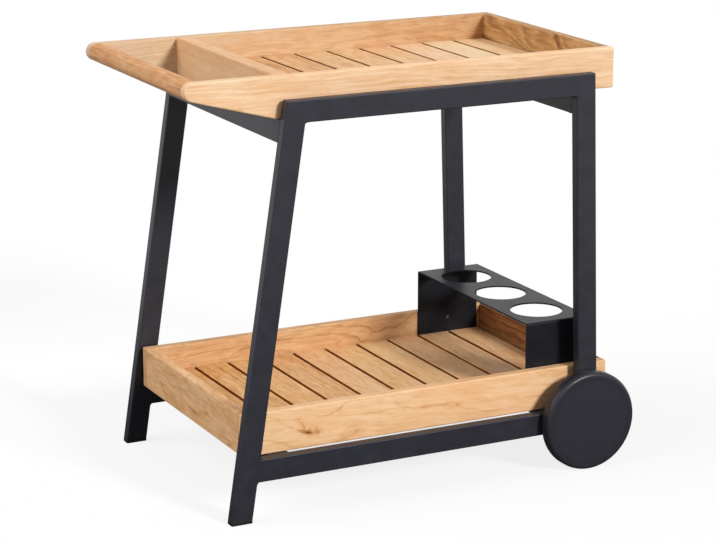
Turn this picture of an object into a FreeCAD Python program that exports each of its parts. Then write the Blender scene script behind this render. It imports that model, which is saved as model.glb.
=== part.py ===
"""Serving trolley: two welded tube frames, two slatted teak trays, a bottle holder and two wheels.

The frame of the part: +X runs from the handle to the wheels, +Y to the far side, +Z up.
The origin is on the floor, midway along the length and midway between the two side frames.
"""
import FreeCAD, Part
import math
import operator
import os

import Sketcher

os.makedirs("parts", exist_ok=True)
doc = FreeCAD.newDocument("serving_trolley")
sheet = doc.addObject("Spreadsheet::Sheet", "Sizes")

# Driving sizes in millimetres. A reach is a distance from the middle of the length.
SIZES = {
    "whole part": {
        "handle_reach": 442,
        "frame_width": 526,
        "frame_height": 752,
    },
    "rectangular tube of the frames": {
        "tube_depth": 40,
        "tube_width": 20,
        "tube_wall": 2,
        "tube_corner": 2,
        "weld_radius": 6,
        "front_leg_top_reach": 263,
        "front_leg_foot_reach": 378,
        "rear_leg_top_reach": 355,
        "rear_leg_foot_reach": 379,
        "bottom_rail_depth": 42,
        "bottom_rail_below_axle": 21.5,
        "lower_crossbar_setback": 24,
        "lower_crossbar_drop": 1,
        "cutter_overrun": 30,
    },
    "foot glide": {
        "glide_thickness": 5,
        "glide_plug_depth": 15,
        "glide_plug_fit": 0.3,
    },
    "boards of both trays": {
        "board_thickness": 20,
        "board_rounding": 3,
        "tray_side_gap": 6,
        "tray_rear_overhang": 55,
        "slat_width": 63,
        "slat_thickness": 12,
        "slat_rounding": 1.2,
        "slat_end_gap": 0.5,
        "batten_width": 25,
    },
    "top tray": {
        "top_tray_lift": 5,
        "top_board_height": 75,
        "top_batten_depth": 15,
        "handle_end_radius": 16.5,
        "handle_inner_rounding": 8,
        "taper_lead": 3.6,
        "divider_lead": 0.6,
        "divider_thickness": 28,
        "top_slat_gap": 6.6,
        "top_slat_rear_gap": 4,
    },
    "lower tray": {
        "lower_board_height": 78.5,
        "lower_batten_depth": 18.5,
        "lower_tray_front_setback": 17.2,
        "lower_slat_gap": 7,
        "lower_slat_rear_gap": 8.6,
    },
    "bottle holder": {
        "holder_depth": 135,
        "holder_height": 134,
        "holder_sheet": 3,
        "holder_bend_radius": 4,
        "holder_rear_gap": 9,
        "holder_side_fit": 0.3,
        "bottle_hole_radius": 50,
        "bottle_hole_margin": 29.7,
        "holder_screw_height": 29,
    },
    "wheel": {
        "wheel_radius": 95,
        "wheel_width": 24,
        "wheel_gap": 3,
        "tyre_depth": 15,
        "tyre_outer_rounding": 8,
        "tyre_inner_rounding": 4,
        "cover_thickness": 3,
        "cover_fit": 0.3,
        "cover_lip_depth": 4,
        "cover_lip_thickness": 2,
        "rim_thickness": 6,
        "rim_inset": 1,
        "web_thickness": 6,
        "rib_thickness": 4,
        "hub_radius": 16,
        "bush_wall": 3,
    },
    "axle": {
        "axle_radius": 6,
        "running_fit": 0.05,
        "thrust_fit": 0.3,
        "sleeve_wall": 3,
        "sleeve_fit": 0.1,
        "sleeve_margin": 1.95,
        "bolt_head_radius": 11,
        "bolt_head_thickness": 3,
        "bolt_head_clearance": 0.7,
        "nut_across_flats": 18,
        "nut_thickness": 6,
        "thread_past_nut": 2,
    },
    "tray screw": {
        "tray_screw_radius": 2.5,
        "tray_screw_length": 60,
        "tray_screw_head_radius": 5,
        "tray_screw_head_thickness": 2.5,
        "screw_fit": 0.1,
    },
    "slat screw": {
        "slat_screw_radius": 2,
        "slat_screw_cover": 3,
        "slat_screw_head_radius": 4,
        "slat_screw_head_thickness": 2,
        "slat_screw_recess": 4,
    },
    "holder screw": {
        "holder_screw_radius": 2,
        "holder_screw_length": 16,
        "holder_screw_head_radius": 4.5,
        "holder_screw_head_thickness": 2,
    },
}
COUNTS = {"bottle_holes": 3, "wheel_ribs": 6}

# How closely two places agree where an edge is picked by its place.
SAME_PLACE = 1e-6

# How a sketch numbers the points of one of its edges.
START, END, CENTRE = 1, 2, 3

NUT_SIDES = 6

OPERATIONS = {"+": operator.add, "-": operator.sub, "*": operator.mul, "/": operator.truediv}


class Size:
    """A length that carries both its value and the formula that gives it from the sheet."""

    def __init__(self, value, formula=None):
        self.value = value
        self.formula = formula or repr(value)

    def combined(self, sign, other):
        other = other if isinstance(other, Size) else Size(other)
        return Size(OPERATIONS[sign](self.value, other.value), f"({self.formula} {sign} {other.formula})")

    def __add__(self, other):
        return self.combined("+", other)

    def __sub__(self, other):
        return self.combined("-", other)

    def __mul__(self, other):
        return self.combined("*", other)

    def __truediv__(self, other):
        return self.combined("/", other)

    def __neg__(self):
        return Size(0).combined("-", self)

    def root(self):
        return Size(math.sqrt(self.value), f"sqrt({self.formula})")

    def whole(self):
        return Size(math.floor(self.value), f"floor({self.formula})")


class Sizes:
    """Every size of the sheet under its own name, as sizes.tube_depth."""


def fill_sheet():
    """Write one row per size: its name, its value as plain text and the piece it belongs to."""
    row = 1
    for group, entries in list(SIZES.items()) + [("counts", COUNTS)]:
        for name, value in entries.items():
            sheet.set(f"A{row}", name)
            sheet.set(f"B{row}", str(value))
            sheet.setAlias(f"B{row}", name)
            sheet.set(f"C{row}", group)
            row += 1
    doc.recompute()
    for entries in list(SIZES.values()) + [COUNTS]:
        for name in entries:
            setattr(sizes, name, Size(sheet.get(name), f"Sizes.{name}"))


sizes = Sizes()
fill_sheet()
NOTHING = Size(0)

ALONG = {"x": FreeCAD.Vector(1, 0, 0), "y": FreeCAD.Vector(0, 1, 0), "z": FreeCAD.Vector(0, 0, 1)}
SIDES = {"near": -1, "far": 1}

# The pieces in the order they are made; each one becomes a file.
pieces = []


def bind(thing, prop, size):
    """Tie one property to its formula."""
    thing.setExpression(prop, size.formula)


def place(thing, corner, turn=FreeCAD.Rotation()):
    """Put a thing at the given place, each coordinate tied to its formula."""
    thing.Placement = FreeCAD.Placement(FreeCAD.Vector(*(c.value for c in corner)), turn)
    for axis, size in zip("xyz", corner):
        bind(thing, f".Placement.Base.{axis}", size)


def new_body(label):
    body = doc.addObject("PartDesign::Body", label)
    body.Label = label
    pieces.append(body)
    return body


def origin_feature(body, role):
    return next(f for f in body.Origin.OriginFeatures if f.Role == role)


def new_sketch(body, name, plane):
    sketch = body.newObject("Sketcher::SketchObject", name)
    sketch.AttachmentSupport = [(origin_feature(body, plane), "")]
    sketch.MapMode = "FlatFace"
    return sketch


def pin_point(sketch, edge, end, point):
    """Tie an edge's end to a place measured from the sketch's origin."""
    for kind, size in zip(("DistanceX", "DistanceY"), point):
        index = sketch.addConstraint(Sketcher.Constraint(kind, -1, START, edge, end, size.value))
        bind(sketch, f"Constraints[{index}]", size)


def flat(point):
    return FreeCAD.Vector(point[0].value, point[1].value, 0)


def arc(centre, radius, first, last):
    """An arc that runs anticlockwise from one point to another."""
    start, end = (math.atan2((point - centre).y, (point - centre).x) for point in (first, last))
    return Part.ArcOfCircle(Part.Circle(centre, ALONG["z"], radius.value), start, end)


def outline(body, name, plane, corners):
    """A closed outline of straight lines through the given corners."""
    sketch = new_sketch(body, name, plane)
    ends = corners[1:] + corners[:1]
    for first, last in zip(corners, ends):
        sketch.addGeometry(Part.LineSegment(flat(first), flat(last)))
    count = len(corners)
    for edge in range(count):
        sketch.addConstraint(Sketcher.Constraint("Coincident", edge, END, (edge + 1) % count, START))
        pin_point(sketch, edge, START, corners[edge])
    return sketch


def ring(body, name, plane, centre, radius):
    """A circle of the given radius about the given centre."""
    sketch = new_sketch(body, name, plane)
    sketch.addGeometry(Part.Circle(flat(centre), ALONG["z"], radius.value))
    pin_point(sketch, 0, CENTRE, centre)
    index = sketch.addConstraint(Sketcher.Constraint("Radius", 0, radius.value))
    bind(sketch, f"Constraints[{index}]", radius)
    return sketch


def pad(body, sketch, length):
    """Thicken an outline by half the length each way from its plane."""
    feature = body.newObject("PartDesign::Pad", sketch.Name + "_pad")
    feature.Profile = sketch
    feature.SideType = "Symmetric"
    bind(feature, "Length", length)
    doc.recompute()
    return feature


def cut(body, sketch, length):
    """Cut an outline by half the length each way from its plane, and insist that it removed something."""
    before = body.Shape.Volume
    feature = body.newObject("PartDesign::Pocket", sketch.Name + "_cut")
    feature.Profile = sketch
    feature.SideType = "Symmetric"
    bind(feature, "Length", length)
    doc.recompute()
    if body.Shape.Volume >= before:
        raise RuntimeError(f"{feature.Name} removed nothing")
    return feature


def drill(body, name, place_at, turn, radius, depth):
    """A round hole from the given point, along +Z turned as asked."""
    before = body.Shape.Volume
    hole = body.newObject("PartDesign::SubtractiveCylinder", name)
    bind(hole, "Radius", radius)
    bind(hole, "Height", depth)
    place(hole, place_at, turn)
    doc.recompute()
    if body.Shape.Volume >= before:
        raise RuntimeError(f"{name} removed nothing")
    return hole


def round_edges(body, base, wanted, radius):
    """Round those edges of a feature for which the given test is true."""
    names = [f"Edge{i + 1}" for i, edge in enumerate(base.Shape.Edges) if wanted(edge)]
    fillet = body.newObject("PartDesign::Fillet", base.Name + "_rounding")
    fillet.Base = (base, names)
    bind(fillet, "Radius", radius)
    doc.recompute()
    return fillet


def runs_along(edge, direction):
    """True for a straight edge parallel to a direction."""
    if not isinstance(edge.Curve, Part.Line):
        return False
    return edge.Curve.Direction.cross(direction).Length < SAME_PLACE


UPWARDS = FreeCAD.Rotation()
OUTWARDS = {"near": FreeCAD.Rotation(ALONG["x"], 90), "far": FreeCAD.Rotation(ALONG["x"], -90)}
ABOUT_Z = {"near": FreeCAD.Rotation(ALONG["z"], 180), "far": FreeCAD.Rotation()}


class Leg:
    """A leaning tube: the X of its outer and inner faces at any height."""

    def __init__(self, foot, top, outward):
        self.foot = foot
        self.lean = (top - foot) / sizes.frame_height
        slope = (self.lean * self.lean + 1).root()
        self.level_width = sizes.tube_depth * slope
        self.level_wall = sizes.tube_wall * slope
        self.outward = outward

    def outer(self, height):
        return self.foot + self.lean * height

    def inner(self, height):
        return self.outer(height) - self.level_width * self.outward

    def direction(self):
        return FreeCAD.Vector(self.lean.value, 0, 1).normalize()


front_leg = Leg(-sizes.front_leg_foot_reach, -sizes.front_leg_top_reach, -1)
rear_leg = Leg(sizes.rear_leg_foot_reach, sizes.rear_leg_top_reach, 1)

# Heights that several pieces share.
axle_height = sizes.wheel_radius
bottom_rail_underside = axle_height - sizes.bottom_rail_below_axle
bottom_rail_top = bottom_rail_underside + sizes.bottom_rail_depth
top_rail_underside = sizes.frame_height - sizes.tube_depth
lower_tray_underside = bottom_rail_top - sizes.lower_crossbar_drop
lower_tray_top = lower_tray_underside + sizes.lower_board_height
top_tray_underside = top_rail_underside + sizes.top_tray_lift
top_tray_top = top_tray_underside + sizes.top_board_height
upper_crossbar_underside = top_tray_underside - sizes.tube_depth
lower_crossbar_underside = lower_tray_underside - sizes.tube_width
top_floor = top_tray_underside + sizes.top_batten_depth + sizes.slat_thickness
lower_floor = lower_tray_underside + sizes.lower_batten_depth + sizes.slat_thickness

# Places across the width, measured from the middle.
frame_face = sizes.frame_width / 2
frame_inner_face = frame_face - sizes.tube_width
frame_middle = frame_face - sizes.tube_width / 2
board_outer_face = frame_inner_face - sizes.tray_side_gap
board_inner_face = board_outer_face - sizes.board_thickness
board_middle = board_outer_face - sizes.board_thickness / 2
batten_middle = board_inner_face - sizes.batten_width / 2

# Places along the length.
sleeve_radius = sizes.axle_radius + sizes.sleeve_fit + sizes.sleeve_wall
axle_reach = rear_leg.inner(axle_height) + sizes.sleeve_margin + sleeve_radius
tray_rear = rear_leg.outer(sizes.frame_height) + sizes.tray_rear_overhang
end_board_face = tray_rear - sizes.board_thickness
top_tray_front = front_leg.outer(top_tray_underside)
lower_tray_front = front_leg.outer(lower_tray_underside) + sizes.lower_tray_front_setback


# Side frames
# Each tube is an outline in the XZ plane, thickened both ways, rounded along its length and hollowed.
def tube(label, corners, hollow, along):
    """A tube of a side frame from its side outline and the outline of its hollow."""
    body = new_body(label)
    solid = pad(body, outline(body, label + "_side", "XZ_Plane", corners), sizes.tube_width)
    round_edges(body, solid, lambda edge: runs_along(edge, along), sizes.tube_corner)
    inside = outline(body, label + "_hollow", "XZ_Plane", hollow)
    cut(body, inside, sizes.tube_width - sizes.tube_wall * 2)
    return body


def upright_corners(leg, low, top_outer, top_inner):
    """Outline of a leg from a level cut at its low end to a mitre at its top."""
    return [
        (leg.outer(low), low),
        (leg.inner(low), low),
        (leg.inner(top_inner), top_inner),
        (leg.outer(top_outer), top_outer),
    ]


def upright_hollow(leg, low, high):
    """Outline of a leg's hollow, one wall inside each long face."""
    wall = leg.level_wall * leg.outward
    return [
        (leg.outer(low) - wall, low),
        (leg.inner(low) + wall, low),
        (leg.inner(high) + wall, high),
        (leg.outer(high) - wall, high),
    ]


def rail_hollow(front, rear, low, high):
    """Outline of a rail's hollow, open at both ends."""
    over, wall = sizes.cutter_overrun, sizes.tube_wall
    return [(front - over, low + wall), (rear + over, low + wall), (rear + over, high - wall),
            (front - over, high - wall)]


def weld(body, name, corner_x, corner_z, leg, rail_way, leg_way):
    """A concave fillet of weld in the corner between a rail's face and a leg's face."""
    radius = sizes.weld_radius
    sketch = new_sketch(body, name, "XZ_Plane")
    corner = FreeCAD.Vector(corner_x.value, corner_z.value, 0)
    along_rail = FreeCAD.Vector(rail_way, 0, 0)
    along_leg = FreeCAD.Vector(leg.lean.value * leg_way, leg_way, 0).normalize()
    bisector = (along_rail + along_leg).normalize()
    half_angle = along_rail.getAngle(bisector)
    on_rail = corner + along_rail * (radius.value / math.tan(half_angle))
    on_leg = corner + along_leg * (radius.value / math.tan(half_angle))
    centre = corner + bisector * (radius.value / math.sin(half_angle))
    rail_first = (on_rail - centre).cross(on_leg - centre).z > 0
    first, last = (on_rail, on_leg) if rail_first else (on_leg, on_rail)
    rail_end, leg_end = (START, END) if rail_first else (END, START)
    rail_side = sketch.addGeometry(Part.LineSegment(corner, on_rail))
    bead = sketch.addGeometry(arc(centre, radius, first, last))
    leg_side = sketch.addGeometry(Part.LineSegment(on_leg, corner))
    sketch.addConstraint(Sketcher.Constraint("Coincident", rail_side, START, leg_side, END))
    sketch.addConstraint(Sketcher.Constraint("Tangent", rail_side, END, bead, rail_end))
    sketch.addConstraint(Sketcher.Constraint("Tangent", bead, leg_end, leg_side, START))
    sketch.addConstraint(Sketcher.Constraint("Horizontal", rail_side))
    pin_point(sketch, rail_side, START, (corner_x, corner_z))
    index = sketch.addConstraint(Sketcher.Constraint("Radius", bead, radius.value))
    bind(sketch, f"Constraints[{index}]", radius)
    # The leg's lean is held by the far end of a guide line along its face.
    reach = sizes.tube_depth * leg_way
    far_end = corner + FreeCAD.Vector(leg.lean.value, 1, 0) * reach.value
    guide = sketch.addGeometry(Part.LineSegment(corner, far_end), True)
    pin_point(sketch, guide, START, (corner_x, corner_z))
    pin_point(sketch, guide, END, (corner_x + leg.lean * reach, corner_z + reach))
    sketch.addConstraint(Sketcher.Constraint("PointOnObject", leg_side, START, guide))
    return pad(body, sketch, sizes.tube_width - sizes.tube_corner * 2)


def make_front_leg(side):
    low = sizes.glide_thickness
    corners = upright_corners(front_leg, low, sizes.frame_height, top_rail_underside)
    hollow = upright_hollow(front_leg, low - sizes.cutter_overrun, sizes.frame_height)
    body = tube(f"{side}_front_leg", corners, hollow, front_leg.direction())
    place(body, (NOTHING, frame_middle * SIDES[side], NOTHING))


def make_rear_leg(side):
    """The rear leg is closed at its foot, and a sleeve for the axle bolt is welded through it."""
    low = bottom_rail_underside
    corners = upright_corners(rear_leg, low, sizes.frame_height, top_rail_underside)
    hollow = upright_hollow(rear_leg, low + sizes.tube_wall, sizes.frame_height)
    label = f"{side}_rear_leg"
    body = tube(label, corners, hollow, rear_leg.direction())
    outward = SIDES[side]
    sleeve = body.newObject("PartDesign::Pad", label + "_sleeve_pad")
    sleeve.Profile = ring(body, label + "_sleeve", "XZ_Plane", (axle_reach, axle_height), sleeve_radius)
    sleeve.SideType = "Two sides"
    out_end, in_end = ("Length2", "Length") if outward > 0 else ("Length", "Length2")
    bind(sleeve, out_end, sizes.tube_width / 2 + sizes.wheel_gap - sizes.thrust_fit)
    bind(sleeve, in_end, sizes.tube_width / 2)
    doc.recompute()
    start = -(sizes.tube_width + sizes.cutter_overrun)
    drill(body, label + "_bore", (axle_reach, start, axle_height), OUTWARDS["far"],
          sizes.axle_radius + sizes.sleeve_fit, -start * 2)
    place(body, (NOTHING, frame_middle * outward, NOTHING))


def make_top_rail(side):
    low, high = top_rail_underside, sizes.frame_height
    corners = [
        (front_leg.inner(low), low),
        (rear_leg.inner(low), low),
        (rear_leg.outer(high), high),
        (front_leg.outer(high), high),
    ]
    hollow = rail_hollow(front_leg.outer(high), rear_leg.outer(high), low, high)
    label = f"{side}_top_rail"
    body = tube(label, corners, hollow, ALONG["x"])
    weld(body, label + "_front_weld", front_leg.inner(low), low, front_leg, 1, -1)
    weld(body, label + "_rear_weld", rear_leg.inner(low), low, rear_leg, -1, -1)
    place(body, (NOTHING, frame_middle * SIDES[side], NOTHING))


def make_bottom_rail(side):
    low, high = bottom_rail_underside, bottom_rail_top
    corners = [
        (front_leg.inner(low), low),
        (rear_leg.inner(low), low),
        (rear_leg.inner(high), high),
        (front_leg.inner(high), high),
    ]
    hollow = rail_hollow(front_leg.inner(low), rear_leg.inner(low), low, high)
    label = f"{side}_bottom_rail"
    body = tube(label, corners, hollow, ALONG["x"])
    weld(body, label + "_front_low_weld", front_leg.inner(low), low, front_leg, 1, -1)
    weld(body, label + "_front_high_weld", front_leg.inner(high), high, front_leg, 1, 1)
    weld(body, label + "_rear_high_weld", rear_leg.inner(high), high, rear_leg, -1, 1)
    place(body, (NOTHING, frame_middle * SIDES[side], NOTHING))


def make_foot_glide(side):
    """A thin foot plate with a plug that goes up into the open end of the front leg."""
    label = f"{side}_front_glide"
    body = new_body(label)
    high = sizes.glide_thickness
    plate = outline(body, label + "_plate", "XZ_Plane", [
        (front_leg.outer(high), NOTHING),
        (front_leg.inner(high), NOTHING),
        (front_leg.inner(high), high),
        (front_leg.outer(high), high),
    ])
    solid = pad(body, plate, sizes.tube_width)
    round_edges(body, solid, lambda edge: runs_along(edge, ALONG["z"]), sizes.tube_corner)
    gap = front_leg.level_wall + sizes.glide_plug_fit
    top = high + sizes.glide_plug_depth
    plug = outline(body, label + "_plug", "XZ_Plane", [
        (front_leg.outer(high) + gap, high),
        (front_leg.inner(high) - gap, high),
        (front_leg.inner(top) - gap, top),
        (front_leg.outer(top) + gap, top),
    ])
    pad(body, plug, sizes.tube_width - (sizes.tube_wall + sizes.glide_plug_fit) * 2)
    place(body, (NOTHING, frame_middle * SIDES[side], NOTHING))


# Cross tubes
# The upper ones stand on edge, their outer face in line with the legs; the lower ones lie flat.
def crossbar(label, front, rear, low, high, leg=None):
    """A cross tube from the X of its two faces at a height, screwed to the tray above at both ends."""
    body = new_body(label)
    width = frame_inner_face * 2
    corners = [(front(low), low), (rear(low), low), (rear(high), high), (front(high), high)]
    solid = pad(body, outline(body, label + "_side", "XZ_Plane", corners), width)
    round_edges(body, solid, lambda edge: runs_along(edge, ALONG["y"]), sizes.tube_corner)
    wall = sizes.tube_wall
    level_wall = leg.level_wall if leg else wall
    inner_low, inner_high = low + wall, high - wall
    hollow = [
        (front(inner_low) + level_wall, inner_low),
        (rear(inner_low) - level_wall, inner_low),
        (rear(inner_high) - level_wall, inner_high),
        (front(inner_high) + level_wall, inner_high),
    ]
    cut(body, outline(body, label + "_hollow", "XZ_Plane", hollow), width + sizes.cutter_overrun)
    middle = (front(low) + rear(low) + front(high) + rear(high)) / 4
    depth = high - low + sizes.cutter_overrun * 2
    for side, sign in SIDES.items():
        at = (middle, board_middle * sign, low - sizes.cutter_overrun)
        radius = sizes.tray_screw_radius + sizes.screw_fit
        drill(body, f"{label}_{side}_screw_hole", at, UPWARDS, radius, depth)
    return middle


def leaning_width(leg):
    """The level thickness of a cross tube that leans with a leg."""
    return leg.level_width * sizes.tube_width / sizes.tube_depth


def make_crossbars():
    """The four cross tubes; returns the X of each one's screws."""
    low, high = upper_crossbar_underside, top_tray_underside
    front_width, rear_width = leaning_width(front_leg), leaning_width(rear_leg)
    upper_front = crossbar("upper_front_crossbar", front_leg.outer,
                           lambda height: front_leg.outer(height) + front_width, low, high, front_leg)
    upper_rear = crossbar("upper_rear_crossbar", rear_leg.inner,
                          lambda height: rear_leg.inner(height) + rear_width, low, high, rear_leg)
    low, high = lower_crossbar_underside, lower_tray_underside
    first = front_leg.inner(bottom_rail_top) + sizes.lower_crossbar_setback
    last = rear_leg.inner(bottom_rail_top) - sizes.lower_crossbar_setback
    lower_front = crossbar("lower_front_crossbar", lambda height: first,
                           lambda height: first + sizes.tube_depth, low, high)
    lower_rear = crossbar("lower_rear_crossbar", lambda height: last - sizes.tube_depth,
                          lambda height: last, low, high)
    return {"top": (upper_front, upper_rear), "lower": (lower_front, lower_rear)}


# Boards
def block(label, low, high, rounded_along, rounding):
    """A rectangular board between two corners, its edges along the given axes rounded."""
    body = new_body(label)
    solid = body.newObject("PartDesign::AdditiveBox", label + "_block")
    for prop, first, last in zip(("Length", "Width", "Height"), low, high):
        bind(solid, prop, last - first)
    place(body, low)
    doc.recompute()
    chosen = [ALONG[axis] for axis in rounded_along]
    round_edges(body, solid, lambda edge: any(runs_along(edge, axis) for axis in chosen), rounding)
    return body


def tray_screw_pilots(body, label, xs, middle, underside, crossbar_height):
    """Holes for the tray screws, up into a side board from its underside."""
    depth = sizes.tray_screw_length - crossbar_height + sizes.screw_fit + sizes.cutter_overrun
    for index, x in enumerate(xs):
        drill(body, f"{label}_pilot_{index + 1}", (x, middle, underside - sizes.cutter_overrun), UPWARDS,
              sizes.tray_screw_radius + sizes.screw_fit, depth)


def make_top_side_board(side, screws):
    """A side board whose front end tapers from below and ends in a round nose."""
    label = f"top_{side}_side_board"
    body = new_body(label)
    radius = sizes.handle_end_radius
    low, high = top_tray_underside, top_tray_top
    nose = (radius - sizes.handle_reach, high - radius)
    rear, start = tray_rear, top_tray_front - sizes.taper_lead
    sketch = new_sketch(body, label + "_side", "XZ_Plane")
    taper = flat((start, low)) - flat(nose)
    slope = math.atan2(taper.y, taper.x) - math.acos(radius.value / taper.Length)
    touch = flat(nose) + FreeCAD.Vector(math.cos(slope), math.sin(slope), 0) * radius.value
    corners = [flat((start, low)), flat((rear, low)), flat((rear, high)), flat((nose[0], high))]
    edges = [Part.LineSegment(*ends) for ends in zip(corners, corners[1:])]
    edges += [arc(flat(nose), radius, corners[-1], touch), Part.LineSegment(touch, corners[0])]
    bottom, end, top, front, slant = (sketch.addGeometry(edge) for edge in edges)
    for first, second in ((bottom, end), (end, top), (slant, bottom)):
        sketch.addConstraint(Sketcher.Constraint("Coincident", first, END, second, START))
    for first, second in ((top, front), (front, slant)):
        sketch.addConstraint(Sketcher.Constraint("Tangent", first, END, second, START))
    sketch.addConstraint(Sketcher.Constraint("Horizontal", top))
    pin_point(sketch, bottom, START, (start, low))
    pin_point(sketch, end, START, (rear, low))
    pin_point(sketch, top, START, (rear, high))
    pin_point(sketch, front, CENTRE, nose)
    solid = pad(body, sketch, sizes.board_thickness)
    round_edges(body, solid, lambda edge: True, sizes.board_rounding)
    tray_screw_pilots(body, label, screws, NOTHING, low, sizes.tube_depth)
    place(body, (NOTHING, board_middle * SIDES[side], NOTHING))


def make_handle_bar():
    """The bar across the front ends: a full round to the front, softer edges behind."""
    body = new_body("handle_bar")
    radius = sizes.handle_end_radius
    front = -sizes.handle_reach
    middle, rear = front + radius, front + radius * 2
    low, high = top_tray_top - radius * 2, top_tray_top
    corners = [(middle, low), (rear, low), (rear, high), (middle, high)]
    block_outline = outline(body, "handle_bar_back", "XZ_Plane", corners)
    solid = pad(body, block_outline, board_inner_face * 2)

    def rear_edge(edge):
        return runs_along(edge, ALONG["y"]) and edge.CenterOfMass.x > middle.value + radius.value / 2

    round_edges(body, solid, rear_edge, sizes.handle_inner_rounding)
    nose = ring(body, "handle_bar_nose", "XZ_Plane", (middle, high - radius), radius)
    pad(body, nose, board_inner_face * 2)


def make_slats(tray, count, first_right_edge, pitch, floor):
    """The slats of a tray, from the rear one forwards; returns the X of each one's middle."""
    middles = []
    half_span = board_inner_face - sizes.slat_end_gap
    count = count.value
    for index in range(count):
        right = first_right_edge - pitch * index
        left = right - sizes.slat_width
        label = f"{tray}_slat_{count - index}"
        low = floor - sizes.slat_thickness
        body = block(label, (left, -half_span, low), (right, half_span, floor), "y", sizes.slat_rounding)
        middle = right - sizes.slat_width / 2
        radius = sizes.slat_screw_radius + sizes.screw_fit
        depth = sizes.slat_thickness - sizes.slat_screw_cover + sizes.screw_fit
        for side, sign in SIDES.items():
            at = (sizes.slat_width / 2, half_span + batten_middle * sign, -sizes.cutter_overrun)
            drill(body, f"{label}_{side}_pilot", at, UPWARDS, radius, depth + sizes.cutter_overrun)
        middles.append(middle)
    return middles


def make_batten(tray, side, front, rear, underside, depth, middles, pitch, count):
    """A strip under the slats' ends, with a recessed screw hole for each slat."""
    label = f"{tray}_{side}_batten"
    outer = board_inner_face * SIDES[side]
    inner = (board_inner_face - sizes.batten_width) * SIDES[side]
    near_face, far_face = (outer, inner) if SIDES[side] < 0 else (inner, outer)
    low = (front, near_face, underside)
    high = (rear, far_face, underside + depth)
    body = block(label, low, high, "x", sizes.slat_rounding)
    at = (middles[0] - front, sizes.batten_width / 2, -sizes.cutter_overrun)
    through = depth + sizes.cutter_overrun * 2
    hole = drill(body, label + "_screw_hole", at, UPWARDS, sizes.slat_screw_radius + sizes.screw_fit, through)
    recess = drill(body, label + "_recess", at, UPWARDS, sizes.slat_screw_head_radius + sizes.screw_fit,
                   sizes.slat_screw_recess + sizes.cutter_overrun)
    pattern = body.newObject("PartDesign::LinearPattern", label + "_holes")
    pattern.Originals = [hole, recess]
    pattern.Direction = (origin_feature(body, "X_Axis"), [""])
    pattern.Reversed = True
    bind(pattern, "Length", pitch * (count - 1))
    bind(pattern, "Occurrences", count)
    body.Tip = pattern
    doc.recompute()


def make_top_tray(screws):
    for side in SIDES:
        make_top_side_board(side, screws)
    make_handle_bar()
    low, high = top_tray_underside, top_tray_top
    inner, rounding = board_inner_face, sizes.board_rounding
    front = top_tray_front - sizes.divider_lead
    front_face = front + sizes.divider_thickness
    block("divider_board", (front, -inner, low), (front_face, inner, high), "y", rounding)
    block("top_rear_board", (end_board_face, -inner, low), (tray_rear, inner, high), "y", rounding)
    pitch = sizes.slat_width + sizes.top_slat_gap
    first = end_board_face - sizes.top_slat_rear_gap
    count = ((first - front_face + sizes.top_slat_gap) / pitch).whole()
    middles = make_slats("top", count, first, pitch, top_floor)
    for side in SIDES:
        make_batten("top", side, front_face, end_board_face, low, sizes.top_batten_depth, middles, pitch,
                    count)
    return middles


def make_lower_side_board(side, screws):
    """A plain side board with holes for the tray screws and for the holder's screw."""
    label = f"lower_{side}_side_board"
    low, high = lower_tray_underside, lower_tray_top
    inner, outer = board_inner_face * SIDES[side], board_outer_face * SIDES[side]
    outwards = SIDES[side] > 0
    near_face, far_face = (inner, outer) if outwards else (outer, inner)
    front = lower_tray_front
    body = block(label, (front, near_face, low), (tray_rear, far_face, high), "xyz", sizes.board_rounding)
    places = [x - front for x in screws]
    tray_screw_pilots(body, label, places, sizes.board_thickness / 2, NOTHING, sizes.tube_width)
    over = sizes.cutter_overrun
    start = -over if outwards else sizes.board_thickness + over
    at = (holder_middle - front, start, holder_screw_z - low)
    drill(body, label + "_holder_pilot", at, OUTWARDS[side], sizes.holder_screw_radius + sizes.screw_fit,
          holder_pilot_depth + over)


def make_lower_tray(screws):
    low, high = lower_tray_underside, lower_tray_top
    front, inner, rounding = lower_tray_front, board_inner_face, sizes.board_rounding
    for side in SIDES:
        make_lower_side_board(side, screws)
    front_face = front + sizes.board_thickness
    block("lower_front_board", (front, -inner, low), (front_face, inner, high), "y", rounding)
    block("lower_rear_board", (end_board_face, -inner, low), (tray_rear, inner, high), "y", rounding)
    pitch = sizes.slat_width + sizes.lower_slat_gap
    first = end_board_face - sizes.lower_slat_rear_gap
    count = ((first - front_face + sizes.lower_slat_gap) / pitch).whole()
    middles = make_slats("lower", count, first, pitch, lower_floor)
    for side in SIDES:
        make_batten("lower", side, front_face, end_board_face, low, sizes.lower_batten_depth, middles, pitch,
                    count)
    return middles


# Bottle holder
holder_rear = end_board_face - sizes.holder_rear_gap
holder_middle = holder_rear - sizes.holder_depth / 2
holder_face = board_inner_face - sizes.holder_side_fit
holder_screw_z = lower_floor + sizes.holder_screw_height
holder_pilot_depth = sizes.holder_screw_length - sizes.holder_sheet - sizes.holder_side_fit + sizes.screw_fit


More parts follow.
